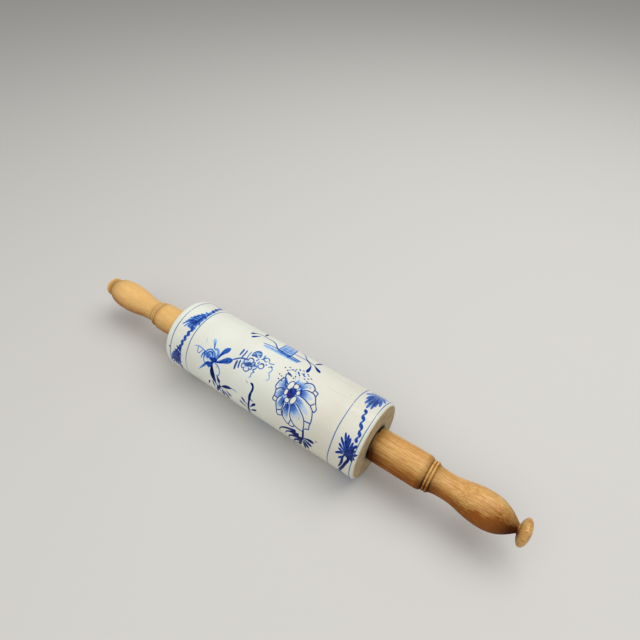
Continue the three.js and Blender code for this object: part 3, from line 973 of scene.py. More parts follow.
def bud_stem():
    """The stem below the bud, with its leaves."""
    brush([(-41.2, 30.4), (-40.4, 34.6), (-38.4, 39.0), (-36.2, 42.6), (-35.4, 45.2)], 5.8, 1.0, "leaf")
    brush([(-34.8, 36.2), (-33.0, 38.6), (-31.4, 41.4)], 3.6, 1.0, "club")
    brush([(-39.0, 27.8), (-36.0, 28.4), (-33.6, 30.4), (-32.5, 33.0), (-33.2, 35.6), (-34.4, 37.0)],
          1.3, 0.46)
    brush([(-32.2, 40.0), (-31.4, 43.4), (-31.2, 46.4)], 2.2, 0.5, "line", 0.5)
    brush([(-29.0, 44.6), (-25.4, 42.5), (-21.6, 40.8), (-17.8, 39.8)], 3.9, 1.0, "leaf")
    slate([(-18.8, 40.0), (-15.4, 39.6), (-12.8, 40.2)], 1.0, 0.4, 0.3)
    brush([(-34.4, 44.4), (-33.0, 49.0), (-28.0, 56.0), (-18.0, 62.0), (-4.0, 66.0)], 1.8, 0.95)
    brush([(-30.6, 45.2), (-33.0, 49.0), (-35.0, 53.0), (-36.0, 57.6)], 3.8, 0.95, "tail")
    brush([(-38.4, 43.0), (-37.8, 46.6), (-36.4, 50.6)], 2.4, 0.8, "leaf")
    brush([(-41.6, 45.2), (-43.0, 48.0), (-43.8, 51.2)], 1.8, 1.0, "leaf")
    brush([(-24.6, 45.6), (-21.8, 47.2), (-19.2, 49.6)], 3.0, 0.95, "club")
    brush([(-29.0, 46.2), (-27.6, 51.0), (-28.2, 56.6)], 3.0, 0.95, "leaf")
    brush([(-26.0, 47.6), (-23.8, 52.0), (-23.4, 57.6)], 3.2, 0.95, "leaf")


print("the curled sprout and the bud are drawn")

# %% The spray of small blossoms
def small_blossoms():
    """Two small blossoms with loose lines and curls round them."""
    brush([(-17.0, 15.2), (-11.8, 14.8), (-6.8, 14.4)], 11.0, 0.13, "oval", 0.5)
    brush([(-22.6, 6.2), (-22.4, 8.4), (-22.7, 11.8)], 1.9, 0.7)
    brush([(-19.6, 5.8), (-19.5, 9.0), (-20.0, 12.8)], 1.6, 0.74)
    brush([(-21.8, 16.6), (-21.5, 20.0), (-21.0, 23.4)], 2.1, 0.9)
    brush([(-19.6, 15.0), (-19.0, 18.2), (-18.2, 21.0)], 1.8, 0.76)
    brush([(-25.6, 17.6), (-23.0, 15.4), (-20.4, 13.6), (-17.0, 12.4), (-14.6, 11.8)], 1.6, 0.72)
    brush([(-13.2, 5.6), (-10.4, 3.2), (-7.6, 4.6)], 5.4, 0.32, "oval", 0.6)
    slate([(-14.0, 7.2), (-13.4, 3.6), (-11.6, 1.6), (-9.2, 1.2), (-7.4, 2.8), (-6.6, 5.4)], 1.1, 0.62, 0.3)
    brush([(-13.4, 7.4), (-11.4, 6.2), (-8.9, 6.6)], 2.0, 0.74)
    brush([(-12.6, 3.2), (-10.8, 2.0), (-8.8, 2.2)], 1.8, 0.4, "line", 0.5)
    brush([(-13.0, 4.4), (-11.6, 4.8), (-10.4, 5.6)], 1.0, 0.55)
    brush([(-9.4, 5.2), (-8.2, 3.9), (-7.0, 5.0), (-7.8, 6.6)], 1.0, 0.55)
    brush([(-14.2, 16.0), (-11.6, 14.6), (-9.0, 13.4)], 4.4, 0.74, "oval", 0.3)
    brush([(-13.4, 15.8), (-11.4, 14.4), (-9.6, 13.8)], 1.6, 0.4, "line", 0.5)
    petals = (
        ((-13.8, 12.6), (-13.6, 10.2), (-11.6, 9.2), (-9.4, 10.2), (-9.6, 12.4)),
        ((-9.4, 11.6), (-7.8, 11.0), (-6.8, 12.6), (-7.8, 14.4), (-9.0, 14.8)),
        ((-9.4, 15.6), (-8.0, 15.0), (-7.6, 16.6), (-9.0, 18.2)),
        ((-13.6, 17.6), (-13.9, 19.4), (-12.2, 20.5), (-10.0, 19.8), (-9.0, 18.0), (-10.4, 16.8)),
        ((-14.4, 16.2), (-16.2, 15.8), (-16.8, 17.6), (-15.6, 19.2), (-13.8, 19.0)),
        ((-14.0, 12.2), (-15.8, 12.0), (-16.6, 13.8), (-15.6, 15.4), (-14.2, 15.2)),
    )
    for edge in petals:
        slate(edge, 1.1, 0.66, 0.22)
    brush([(-13.4, 9.8), (-11.6, 9.2), (-9.6, 10.0)], 1.3, 0.55)
    brush([(-15.8, 5.0), (-16.0, 8.0), (-15.7, 11.6)], 1.2, 0.55)
    brush([(-4.6, 2.2), (-3.8, 3.6), (-3.4, 5.6)], 3.0, 0.4, "line", 0.6)
    brush([(-4.4, 4.0), (-3.2, 4.4), (-2.0, 3.1), (-0.2, 2.9), (1.2, 3.8), (1.8, 5.4)], 1.1, 0.56)
    brush([(-5.4, 6.2), (-3.4, 5.6), (-0.9, 6.4), (0.2, 5.4)], 1.2, 0.52)
    brush([(-3.6, 10.4), (-2.6, 9.2), (-1.2, 8.9), (0.2, 9.8), (0.6, 11.2)], 1.4, (0.9, 0.65))
    brush([(-2.8, 9.4), (-1.2, 8.9)], 1.6, 0.8)
    brush([(0.6, 10.8), (0.0, 12.4), (-1.8, 13.1), (-3.6, 12.6), (-3.8, 10.8)], 1.1, 0.6)
    brush([(-8.0, 12.2), (-6.2, 13.4), (-4.4, 12.4)], 1.8, 0.6)
    for place in ((-7.5, 9.0), (-5.0, 9.2), (-5.2, 10.6), (1.3, 8.2), (-7.0, 7.6)):
        dot(place, 1.6, 0.6)
    brush([(-4.0, 13.2), (-4.6, 15.2), (-6.0, 16.8), (-4.0, 17.6), (-5.6, 19.4), (-5.0, 21.6), (-6.0, 23.4)],
          1.2, (0.74, 0.34))
    brush([(2.4, 6.0), (4.4, 5.5), (6.6, 4.7)], 1.2, 0.5)
    brush([(4.0, 9.0), (5.8, 7.4), (7.2, 8.4), (8.0, 10.2), (7.0, 12.4), (8.6, 14.0), (9.7, 15.8),
           (9.1, 17.6), (7.8, 18.2)], 1.1, (0.58, 0.3))
    dot((6.0, 7.6), 1.7, 0.6)


print("the spray of small blossoms is drawn")

# %% The trunk and its ground
def trunk():
    """The trunk on its strip of ground, with two leafy twigs."""
    for k in range(7):
        foot, top = -0.4 + 1.7 * k, -5.2 + 1.4 * k
        brush([(foot, -9.8), (foot - 0.2, -16.0), (foot - 2.0, -23.0), (top, -33.0)], 2.6, (0.3, 0.24),
              "line", 0.6)
    brush([(-1.4, -10.0), (-1.4, -15.0), (-2.6, -21.0), (-4.8, -29.0), (-6.6, -34.0)], 1.1, 0.4)
    brush([(11.0, -10.6), (10.2, -16.0), (8.6, -22.0), (5.6, -29.0), (3.4, -34.0)], 1.2, 0.62)
    brush([(6.0, -11.0), (5.4, -18.0), (3.2, -25.0), (-0.6, -33.0)], 0.9, 0.3)
    brush([(2.2, -11.0), (1.6, -18.0), (0.2, -24.0), (-3.4, -33.0)], 0.9, 0.26)
    brush([(0.0, -13.2), (4.0, -12.8), (10.4, -13.8)], 1.4, 0.3, "line", 0.6)
    brush([(0.4, -16.8), (4.4, -16.2), (9.6, -17.6)], 1.2, 0.26, "line", 0.6)
    brush([(-3.8, -10.6), (-0.6, -10.0), (2.6, -10.2)], 1.9, 0.6, "line", 0.5)
    brush([(2.0, -9.8), (6.4, -9.4), (10.6, -9.6)], 2.6, 0.52, "line", 0.6)
    brush([(10.2, -10.6), (10.2, -8.2), (9.8, -5.8)], 2.2, (0.66, 0.4), "tail", 0.5)
    brush([(-12.4, -6.2), (-6.0, -6.8), (2.0, -7.0), (10.0, -7.4), (18.8, -7.4)], 4.6, 0.32, "line", 0.7)
    brush([(-1.0, -8.6), (8.0, -8.4), (14.6, -8.4), (19.6, -8.6)], 2.6, 0.4, "line", 0.6)
    brush([(-6.0, -8.6), (4.0, -9.2), (12.0, -9.0), (18.6, -8.6)], 5.0, 0.16, "line", 0.7, "grey")
    brush([(-14.8, -8.2), (-10.0, -9.2), (-4.0, -10.3), (3.0, -9.8)], 1.2, 0.62)
    slate([(10.6, -10.4), (15.6, -10.2), (20.6, -9.8)], 1.4, 0.62, 0.2)
    slate([(-2.0, -10.4), (-5.0, -12.4), (-8.0, -15.0), (-12.0, -16.7), (-16.0, -16.9), (-20.6, -16.8)],
          1.3, 0.6, 0.4)
    slate([(-20.8, -17.0), (-24.0, -16.6), (-27.6, -15.6)], 1.1, 0.5, 0.36)
    brush([(-21.2, -18.0), (-22.4, -22.4), (-24.0, -26.4), (-25.4, -31.0)], 2.9, 0.96, "leaf")
    brush([(-27.2, -15.6), (-28.8, -13.4), (-30.6, -11.3)], 2.9, 0.96, "club")
    brush([(-22.8, -13.8), (-24.8, -10.8), (-26.8, -7.8)], 2.8, 0.94, "club")
    slate([(10.6, -15.4), (16.0, -15.8), (23.0, -15.8), (29.8, -14.9)], 1.2, 0.6, 0.4)
    slate([(9.6, -33.0), (12.0, -29.0), (16.0, -24.0), (20.0, -18.8), (22.6, -16.4), (26.0, -14.0),
           (29.2, -11.6)], 1.3, 0.64, 0.4)
    brush([(22.2, -16.8), (23.6, -15.6), (25.4, -14.9)], 2.1, 0.95, "leaf")
    brush([(28.8, -12.2), (30.2, -8.4), (30.8, -3.8)], 3.2, 0.96, "club")
    brush([(30.0, -14.8), (33.4, -12.6), (38.2, -10.0)], 3.2, 0.96, "club")
    brush([(30.0, -16.4), (30.8, -20.6), (31.0, -25.4), (29.8, -31.0)], 3.2, 0.96, "leaf")


print("the trunk and its ground are drawn")

# %% [markdown]
# ## Borders and age
# Two thin lines round each end hold a border of leaf tufts on a wavy vine. The left border has five tufts
# that sway from side to side, the right one a pair of tufts that comes twice. A few rust specks in the glaze
# and a faint stain are marks of age, in an iron pigment.

# %% Borders
TUFT_COUNT = 5
TUFT_TIPS = ((-77.2, -6.4), (-78.6, -2.6), (-80.2, 0.8), (-81.8, 3.4), (-83.2, 5.8), (-83.6, 8.2),
             (-84.2, 10.6), (-85.4, 13.6), (-82.6, 14.8), (-79.6, 13.8), (-76.8, 12.8), (-71.8, 12.8),
             (-70.9, 0.4), (-70.7, 7.6))
TUFT_SWAY = (0.0, -4.4, -1.2, -4.0, -3.0)
TUFT_LOADS = (1.0, 1.5, 1.1, 1.3, 1.0)
DOWN_TIPS = ((77.2, -24.0), (76.4, -15.6), (79.2, -10.4), (80.6, -5.6), (83.6, -2.4), (86.6, -3.4),
             (87.6, -7.0), (90.2, -9.6), (91.0, -16.5), (91.2, -23.0))
UP_TIPS = ((80.8, 20.6), (83.4, 20.9), (85.6, 22.2), (79.3, 24.8), (79.6, 29.4), (80.4, 32.8), (81.4, 35.6),
           (82.4, 40.2), (88.4, 24.0), (90.6, 26.6), (92.0, 28.2), (94.4, 30.3), (91.0, 33.6))
RING_LINES = ((-88.6, -0.6), (-69.6, 52.4), (73.9, -0.6), (92.5, -0.6))  # along the pin, and start round it
RING_WIDTH, RING_COBALT, RING_GREY, RING_SWAY, RING_RIPPLE = 1.05, 0.42, 0.58, 0.28, 0.1
VINE_TURNS, VINE_SWING = 9, 1.5


def left_border(k):
    """One tuft of the left border, and the vine that leads to the next."""
    pitch = BARREL_ROUND / TUFT_COUNT
    sway, following = TUFT_SWAY[k], TUFT_SWAY[(k + 1) % TUFT_COUNT]
    body = np.array(((-72.9, -7.8), (-74.2, -2.0), (-76.0, 5.0), (-77.0, 11.4))) + (sway, 0)
    brush(body, 10.8, 0.48, "tuft", 0.2)
    brush(body + (1.0, 0), 3.4, 0.3, "tuft", 0.6)
    fern((-72.4 + sway, -7.4), (-74.6 + sway, 9.4), [(x + sway, s) for x, s in TUFT_TIPS], 2.0, 0.46)
    for x, s in ((-72.6, -2.6), (-71.9, 1.0), (-74.0, -3.4), (-79.6, 11.2), (-76.6, 11.0), (-73.6, 10.6)):
        brush([(x + sway, s - 1.2), (x + sway - 0.2, s + 1.0)], 1.1, -0.55, "leaf", 0.6)
    share = np.linspace(0, 1, VINE_TURNS)
    swing = np.where(np.arange(VINE_TURNS) % 2, VINE_SWING, -VINE_SWING)
    turns = (-73.8 + sway) * (1 - share) + (-73.0 + following) * share + swing
    vine(np.stack([turns, 12.4 + share * (pitch - 20.4)], 1), 4.0, 0.7)


def right_border():
    """The tuft that points down, the vine, and the tuft that points up."""
    brush([(85.0, -40.0), (84.8, -30.0), (84.4, -19.0), (84.0, -9.0)], 14.0, 0.32, "tuft", 0.4)
    brush([(85.0, -42.0), (84.8, -26.0), (84.2, -6.0)], 15.0, 0.22, "tuft", 0.5, "grey")
    fan((84.4, -30.0), DOWN_TIPS, 2.6, (0.2, 0.62))
    fan((84.4, -22.0), [(0.8 * x + 16.9, s - 3.4) for x, s in DOWN_TIPS[1:9]], 1.0, (0.3, 0.4))
    fan((84.4, -16.0), ((78.8, -14.0), (81.0, -10.4), (83.4, -6.8), (86.2, -8.0), (88.2, -12.0)),
        1.2, (0.2, 0.8))
    vine(((83.6, -0.4), (86.0, 1.4), (84.6, 4.8), (87.4, 6.8), (86.2, 10.2), (89.2, 12.6), (88.2, 15.4),
          (90.6, 17.6), (88.9, 20.2), (90.0, 22.6)), 3.3, 0.82)
    brush([(87.0, 35.4), (85.6, 31.0), (83.8, 26.0)], 5.6, 0.56, "tuft", 0.3)
    brush([(88.2, 35.0), (88.9, 31.0), (89.2, 27.0)], 4.4, 0.72, "tuft", 0.2)
    brush([(87.8, 36.0), (87.0, 33.0), (86.2, 30.0)], 4.6, 0.7, "leaf", 0.6)
    fan((87.2, 34.2), UP_TIPS, 2.2, (0.6, 0.9))
    fan((87.6, 31.0), ((91.6, 24.4), (93.0, 31.8), (93.4, 34.6), (92.2, 36.8), (79.2, 37.4)),
        2.4, (0.7, 0.95))
    brush([(86.4, 33.0), (85.2, 37.5), (85.2, 42.0), (84.2, 47.0), (82.8, 50.8)], 2.4, 1.0, "leaf")
    brush([(88.6, 33.4), (89.4, 37.6), (88.0, 42.0), (86.8, 46.6), (85.2, 51.0), (84.0, 56.0), (84.4, 62.0)],
          2.6, 1.0)


def ring_line(place, start, phase):
    """A thin line once round the barrel, drawn on a wheel, with a short break where it meets its start."""
    turns = np.linspace(0.6, BARREL_ROUND - 0.3, 33)
    share = 2 * np.pi * turns / BARREL_ROUND
    sway = RING_SWAY * np.sin(share + phase) + RING_RIPPLE * np.sin(7 * share)
    line = np.stack([place + sway, start + turns], 1)
    slate(line, RING_WIDTH, RING_COBALT, RING_GREY)


def marks_of_age():
    """Rust specks, a faint stain and one dark chip of paint."""
    specks = (((63.0, 39.2), 1.5, 0.9), ((69.2, -5.6), 0.9, 0.45), ((41.7, 6.6), 1.0, 0.6),
              ((45.0, 30.0), 1.3, 0.5), ((-36.6, 29.8), 1.8, 0.3), ((-10.9, 28.6), 0.7, 0.4))
    for place, width, strength in specks:
        dot(place, width, strength, "iron")
    brush([(-7.0, 26.2), (-5.0, 27.3)], 1.2, 0.6, "line", 0.5, "iron")
    brush([(50.0, -2.4), (57.0, -1.0), (64.0, -1.5), (72.0, -2.6)], 0.7, 0.12, "line", 0.6, "iron")
    dot((-89.2, 36.6), 1.8, 0.8)
    dot((-89.2, 36.6), 1.8, 0.5, "iron")


print(TUFT_COUNT, "tufts at the left,", len(RING_LINES), "ring lines")

# %% Paint everything
PLANT_COUNT = 2
TUFT_GREY = 0.1
PLANT_PARTS = (  # with how loaded the brush is, and the share of grey in its cobalt
    (trunk, 1.0, 0.0), (great_blossom, 1.0, 0.0), (blossom_stem, 1.0, 0.0), (curled_sprout, 1.0, 0.0),
    (bud, 1.0, 0.0), (bud_stem, 1.0, 0.0), (small_blossoms, 0.84, 0.45), (right_border, 1.0, 0.1),
)

for k, (place, start) in enumerate(RING_LINES):
    ring_line(place, start, k)
for k in range(TUFT_COUNT):
    turned_by, brush_load, grey_share = k * BARREL_ROUND / TUFT_COUNT, TUFT_LOADS[k], TUFT_GREY
    left_border(k)
for k in range(PLANT_COUNT):
    turned_by = k * BARREL_ROUND / PLANT_COUNT
    for motif, brush_load, grey_share in PLANT_PARTS:
        motif()
turned_by, brush_load, grey_share = 0.0, 1.0, 0.0
marks_of_age()
print(len(marks), "brush marks")

# %% [markdown]
# ## From brush marks to a mesh
# An image texture would be the usual carrier for a painting, but this part keeps everything in code. So the
# outlines of the marks become edges of the mesh itself: a Delaunay triangulation joins them with a plain
# grid, and each corner of a triangle stores how much pigment lies on it. A corner takes at most three times
# the level at its triangle's middle, so that no colour leaks into a large bare triangle beside a mark. The
# edges of the marks then stay sharp however near one looks.

# %% Outlines and the flat sheet
RIM_ROUNDING = 2.6
COLUMNS, STRAIGHT_ROWS, RIM_ROWS = 96, 47, 9
TOUCHING, LEAK_LIMIT = 1e-5, 3
SKIN_EDGE = BARREL_HALF - RIM_ROUNDING + RIM_ROUNDING * math.pi / 2
SEAM = -BARREL_ROUND / 2
PIGMENTS = ("cobalt", "grey", "violet", "iron")


def mark_outline(mark, share):
    """The closed outline of a mark, at a share of its width, with rounded ends."""
    spine, half = mark["spine"], mark["half"] * share
    ahead = np.gradient(spine, axis=0)
    ahead /= np.linalg.norm(ahead, axis=1)[:, None]
    aside = np.stack([-ahead[:, 1], ahead[:, 0]], 1)
    a = np.radians([45, 90, 135])[:, None]
    end = spine[-1] + half[-1] * (np.cos(a) * aside[-1] + np.sin(a) * ahead[-1])
    start = spine[0] - half[0] * (np.cos(a) * aside[0] + np.sin(a) * ahead[0])
    return np.vstack([spine + aside * half[:, None], end, (spine - aside * half[:, None])[::-1], start])


def flat_sheet():
    """Points and triangles of the barrel's skin laid flat, with the outlines of the marks as edges."""
    points, edges = [], []
    for mark in marks:
        low, high = mark["spine"][:, 1].min(), mark["spine"][:, 1].max()
        reach = mark["half"].max()
        for turn in (-BARREL_ROUND, 0.0, BARREL_ROUND):
            if high + reach + turn < SEAM or low - reach + turn > SEAM + BARREL_ROUND:
                continue
            for share in (1.0, 1.0 - mark["soft"]):
                loop = mark_outline(mark, share) + (0, turn)
                first, n = len(points), len(loop)
                points.extend(loop)
                edges.extend((first + k, first + (k + 1) % n) for k in range(n))
    straight = BARREL_HALF - RIM_ROUNDING
    rim = np.linspace(straight, SKIN_EDGE, RIM_ROWS)
    along = np.unique(np.round(np.r_[np.linspace(-straight, straight, STRAIGHT_ROWS), rim, -rim], 6))
    rounds = np.linspace(SEAM, SEAM + BARREL_ROUND, COLUMNS + 1)
    first, n = len(points), len(along)
    points.extend((x, s) for s in rounds for x in along)
    for k in range(COLUMNS):
        edges.extend(((first + k * n, first + k * n + n), (first + k * n + n - 1, first + k * n + 2 * n - 1)))
    for k in range(n - 1):
        edges.extend(((first + k, first + k + 1), (first + COLUMNS * n + k, first + COLUMNS * n + k + 1)))
    found = delaunay_2d_cdt([Vector(p) for p in points], edges, [], 0, TOUCHING)
    places = np.array(found[0])
    triangles = np.array([list(f) for f in found[2]])
    middle = places[triangles].mean(1)
    inside = (np.abs(middle[:, 0]) < SKIN_EDGE) & (np.abs(middle[:, 1]) < BARREL_ROUND / 2)
    used, triangles = np.unique(triangles[inside], return_inverse=True)
    return places[used], triangles.reshape(-1, 3)


places, triangles = flat_sheet()
print("flat sheet:", len(places), "points,", len(triangles), "triangles")

# %% Pigment on each point
def pigment_on(places, pigment):
    """How much of a pigment lies on each flat place. Marks that cross add up, as thin colour does."""
    bare = np.ones(len(places))
    order = np.argsort(places[:, 1])
    for mark in (m for m in marks if m["pigment"] == pigment):
        reach = mark["half"].max()
        low, high = mark["spine"].min(0) - reach, mark["spine"].max(0) + reach
        for turn in (-BARREL_ROUND, 0.0, BARREL_ROUND):
            near = order[slice(*np.searchsorted(places[order, 1], (low[1] + turn, high[1] + turn)))]
            near = near[(places[near, 0] >= low[0]) & (places[near, 0] <= high[0])]
            if not len(near):
                continue
            p = places[near] - (0, turn)
            off, strength = np.full(len(near), np.inf), np.zeros(len(near))
            steps = zip(mark["spine"], mark["spine"][1:], mark["half"], mark["half"][1:], mark["strength"])
            for a, b, half_a, half_b, level in steps:
                along = b - a
                t = np.clip((p - a) @ along / (along @ along), 0, 1)
                width = half_a + (half_b - half_a) * t
                share = np.linalg.norm(p - a - t[:, None] * along, axis=1) / width
                nearer = share < off
                off[nearer], strength[nearer] = share[nearer], level
            laid = strength * np.clip((1 - off) / mark["soft"], 0, 1)
            bare[near] = np.where(laid < 0, 1 - (1 - bare[near]) * (1 + laid), bare[near] * (1 - laid))
    return 1 - bare


skin_mesh = bpy.data.meshes.new("flat skin")
skin_mesh.from_pydata(np.c_[places * MM, np.zeros(len(places))].tolist(), [], triangles.tolist())
middles = places[triangles].mean(1)
for pigment in PIGMENTS:
    most = LEAK_LIMIT * pigment_on(middles, pigment)[:, None]
    levels = np.minimum(pigment_on(places, pigment)[triangles], most)
    layer = skin_mesh.attributes.new(pigment, "FLOAT", "CORNER")
    layer.data.foreach_set("value", levels.ravel().astype(np.float32))
    print(pigment, "on", int((levels > 0.01).any(1).sum()), "triangles")

# %% [markdown]
# ## Glaze
# Under the glaze lies white porcelain, not quite even and yellowed towards the right, with tiny rust specks
# and faint crazing. Thin cobalt is a pale blue, and thick cobalt a deep navy, so one ramp turns the stored
# pigment into colour. The glaze is a glossy coat, thinner over thick cobalt. It thins to cream round the
# rims, and the end faces were left unglazed and matt. They are told apart by their station along the pin.

# %% Colours of the porcelain
BODY_WHITE, BODY_CREAM, RIM_CREAM = linear(230, 233, 222), linear(216, 212, 196), linear(208, 199, 174)
# The bare clay's tan is partly its own colour and partly painted shade, darkened to how the end faces look in
# shade
BARE_CLAY, STAINED_CLAY = linear(186, 168, 132), linear(160, 140, 104)
# The clay near the axle hole: grime with painted shade, and grime with the painted shadow of the gap under
# the handle's shoulder
RUBBED_AND_SHADED_CLAY, GRIME_AND_GAP_SHADOW_CLAY = linear(104, 80, 52), linear(36, 25, 15)
GREY_PAINT, VIOLET_PAINT, IRON_STAIN = linear(84, 96, 108), linear(62, 18, 104), linear(112, 86, 52)
SPECK_BROWN, CRAZING_BROWN = linear(120, 98, 66), linear(150, 138, 118)
COBALT_STOPS = (
    (0.0, linear(230, 231, 227)), (0.18, linear(182, 208, 236)), (0.35, linear(118, 164, 222)),
    (0.52, linear(64, 116, 200)), (0.7, linear(24, 74, 168)), (0.86, linear(2, 38, 130)),
    (1.0, linear(0, 4, 58)),
)
print("cobalt in", len(COBALT_STOPS), "strengths")

# %% The porcelain finish
# Patterns, in cycles or cells per metre
CLOUDS, POOLS, CLAY_STAINS, GLAZE_WAVES, SPECKS, CRAZING = 28, 420, 160, 150, 62, 46
# Stretches over which the finish changes, in millimetres along the pin, from the ends and from the axis
YELLOWING, THIN_GLAZE, BARE_END = (-20, 80), (1.2, 0.3), (0.4, 0.02)
# Rings round the axle hole, from the barrel's axis: grime with painted shade, and grime with the painted
# shadow of the gap under the handle's shoulder
RUBBED_AND_SHADED_RING, GRIME_AND_GAP_SHADOW_RING = (17, 14.2), (14.4, 13.2)
GLAZE_GLOSS, PAINT_SHINE = 0.46, 0.07
GLAZE_ROUGHNESS, CLAY_ROUGHNESS = 0.17, 0.62
GLAZE_RELIEF, GLAZE_RELIEF_DEPTH = 0.06, 0.3


def even_noise(tree, place, cycles, detail):
    return stretched_noise(tree, place, (cycles, cycles, cycles), detail)


def white_body(tree, place, along):
    """White porcelain, a little cloudy, and yellowed towards the right."""
    yellowed = over_stretch(tree, along, YELLOWING, 0.0, 0.7)
    cloud = ranged(tree, even_noise(tree, place, CLOUDS, 3), 0.35, 0.7, 0.0, 0.35)
    return mixed(tree, maths(tree, "ADD", yellowed, cloud), BODY_WHITE, BODY_CREAM)


def stored(tree, pigment):
    """How much of a pigment the mesh has stored at a place."""
    node = tree.nodes.new("ShaderNodeAttribute")
    node.attribute_name = pigment
    return node.outputs["Fac"]


def painted(tree, place, colour):
    """The painting over a colour, and the strength of its cobalt, which pools a little."""
    pooled = ranged(tree, even_noise(tree, place, POOLS, 3), 0.25, 0.75, 0.82, 1.1)
    strength = maths(tree, "MULTIPLY", stored(tree, "cobalt"), pooled)
    ramp = tree.nodes.new("ShaderNodeValToRGB")
    set_stops(ramp, COBALT_STOPS)
    feed(tree, ramp.inputs[0], strength)
    colour = mixed(tree, ranged(tree, strength, 0.0, 0.12), colour, ramp.outputs[0])
    colour = mixed(tree, stored(tree, "grey"), colour, GREY_PAINT)
    colour = mixed(tree, maths(tree, "MULTIPLY", stored(tree, "violet"), 0.65), colour, VIOLET_PAINT)
    return mixed(tree, stored(tree, "iron"), colour, IRON_STAIN), strength


def cell_distance(tree, place, scale, feature="F1"):
    """How far a place lies from the middle, or from the edge, of the random cell that it is in."""
    node = tree.nodes.new("ShaderNodeTexVoronoi")
    node.feature = feature
    node.inputs["Scale"].default_value = scale
    feed(tree, node.inputs["Vector"], place)
    return node.outputs["Distance"]


def aged(tree, place, colour):
    """Tiny rust specks and faint crazing over a colour."""
    speck = ranged(tree, cell_distance(tree, place, SPECKS), 0.035, 0.018, 0.0, 0.45)
    hair = ranged(tree, cell_distance(tree, place, CRAZING, "DISTANCE_TO_EDGE"), 0.012, 0.0, 0.0, 0.07)
    return mixed(tree, hair, mixed(tree, speck, colour, SPECK_BROWN), CRAZING_BROWN)


def bare_clay(tree, place, parts):
    """The unglazed end faces, their tan partly painted shade, darkened round the axle hole by grime with
    painted shade and by the painted shadow of the gap under the handle's shoulder.
    """
    stain = ranged(tree, even_noise(tree, place, CLAY_STAINS, 4), 0.4, 0.75)
    _, radius = from_axis(tree, parts, BARREL_HEIGHT)
    rubbed_and_shaded = over_stretch(tree, radius, RUBBED_AND_SHADED_RING, 0.0, 0.3)
    dark = over_stretch(tree, radius, GRIME_AND_GAP_SHADOW_RING, 0.0, 0.9)
    clay = mixed(tree, rubbed_and_shaded, mixed(tree, stain, BARE_CLAY, STAINED_CLAY), RUBBED_AND_SHADED_CLAY)
    return mixed(tree, dark, clay, GRIME_AND_GAP_SHADOW_CLAY)


def porcelain_finish():
    finish, tree, shader = new_finish("painted porcelain")
    place = tree.nodes.new("ShaderNodeTexCoord").outputs["Object"]
    parts = split(tree, place)
    from_end = maths(tree, "SUBTRACT", BARREL_HALF * MM, maths(tree, "ABSOLUTE", parts["X"]))
    thin = over_stretch(tree, from_end, THIN_GLAZE, 0.0, 0.5)
    bare = over_stretch(tree, from_end, BARE_END)
    colour, strength = painted(tree, place, white_body(tree, place, parts["X"]))
    colour = mixed(tree, thin, aged(tree, place, colour), RIM_CREAM)
    colour = mixed(tree, bare, colour, bare_clay(tree, place, parts))
    gloss = ranged(tree, strength, 0.5, 1.0, GLAZE_GLOSS, 0.0)
    gloss = maths(tree, "MULTIPLY", gloss, ranged(tree, bare, 0.0, 1.0, 1.0, 0.0))
    feed(tree, shader.inputs["Base Color"], colour)
    feed(tree, shader.inputs["Roughness"], ranged(tree, bare, 0.0, 1.0, GLAZE_ROUGHNESS, CLAY_ROUGHNESS))
    feed(tree, shader.inputs["Coat Weight"], gloss)
    shader.inputs["Coat Roughness"].default_value = GLAZE_ROUGHNESS
    shader.inputs["Specular IOR Level"].default_value = PAINT_SHINE
    add_relief(tree, shader, even_noise(tree, place, GLAZE_WAVES, 2), GLAZE_RELIEF, GLAZE_RELIEF_DEPTH)
    return finish


PORCELAIN = porcelain_finish()
print("porcelain finish with", len(PORCELAIN.node_tree.nodes), "nodes")

# %% [markdown]
# ## Wrapping the barrel
# A second tree rolls the flat sheet into a cylinder: a place's second number becomes an angle, and what lies
# beyond the straight part follows the rounded rim. The end walls, the holes for the axle and the hollow
# inside come from the lathe, with the same number of columns, so that merging the two closes the barrel.

# %% The wrapping tree
MAP_SHARE, MAP_GAP = 0.86, 0.01


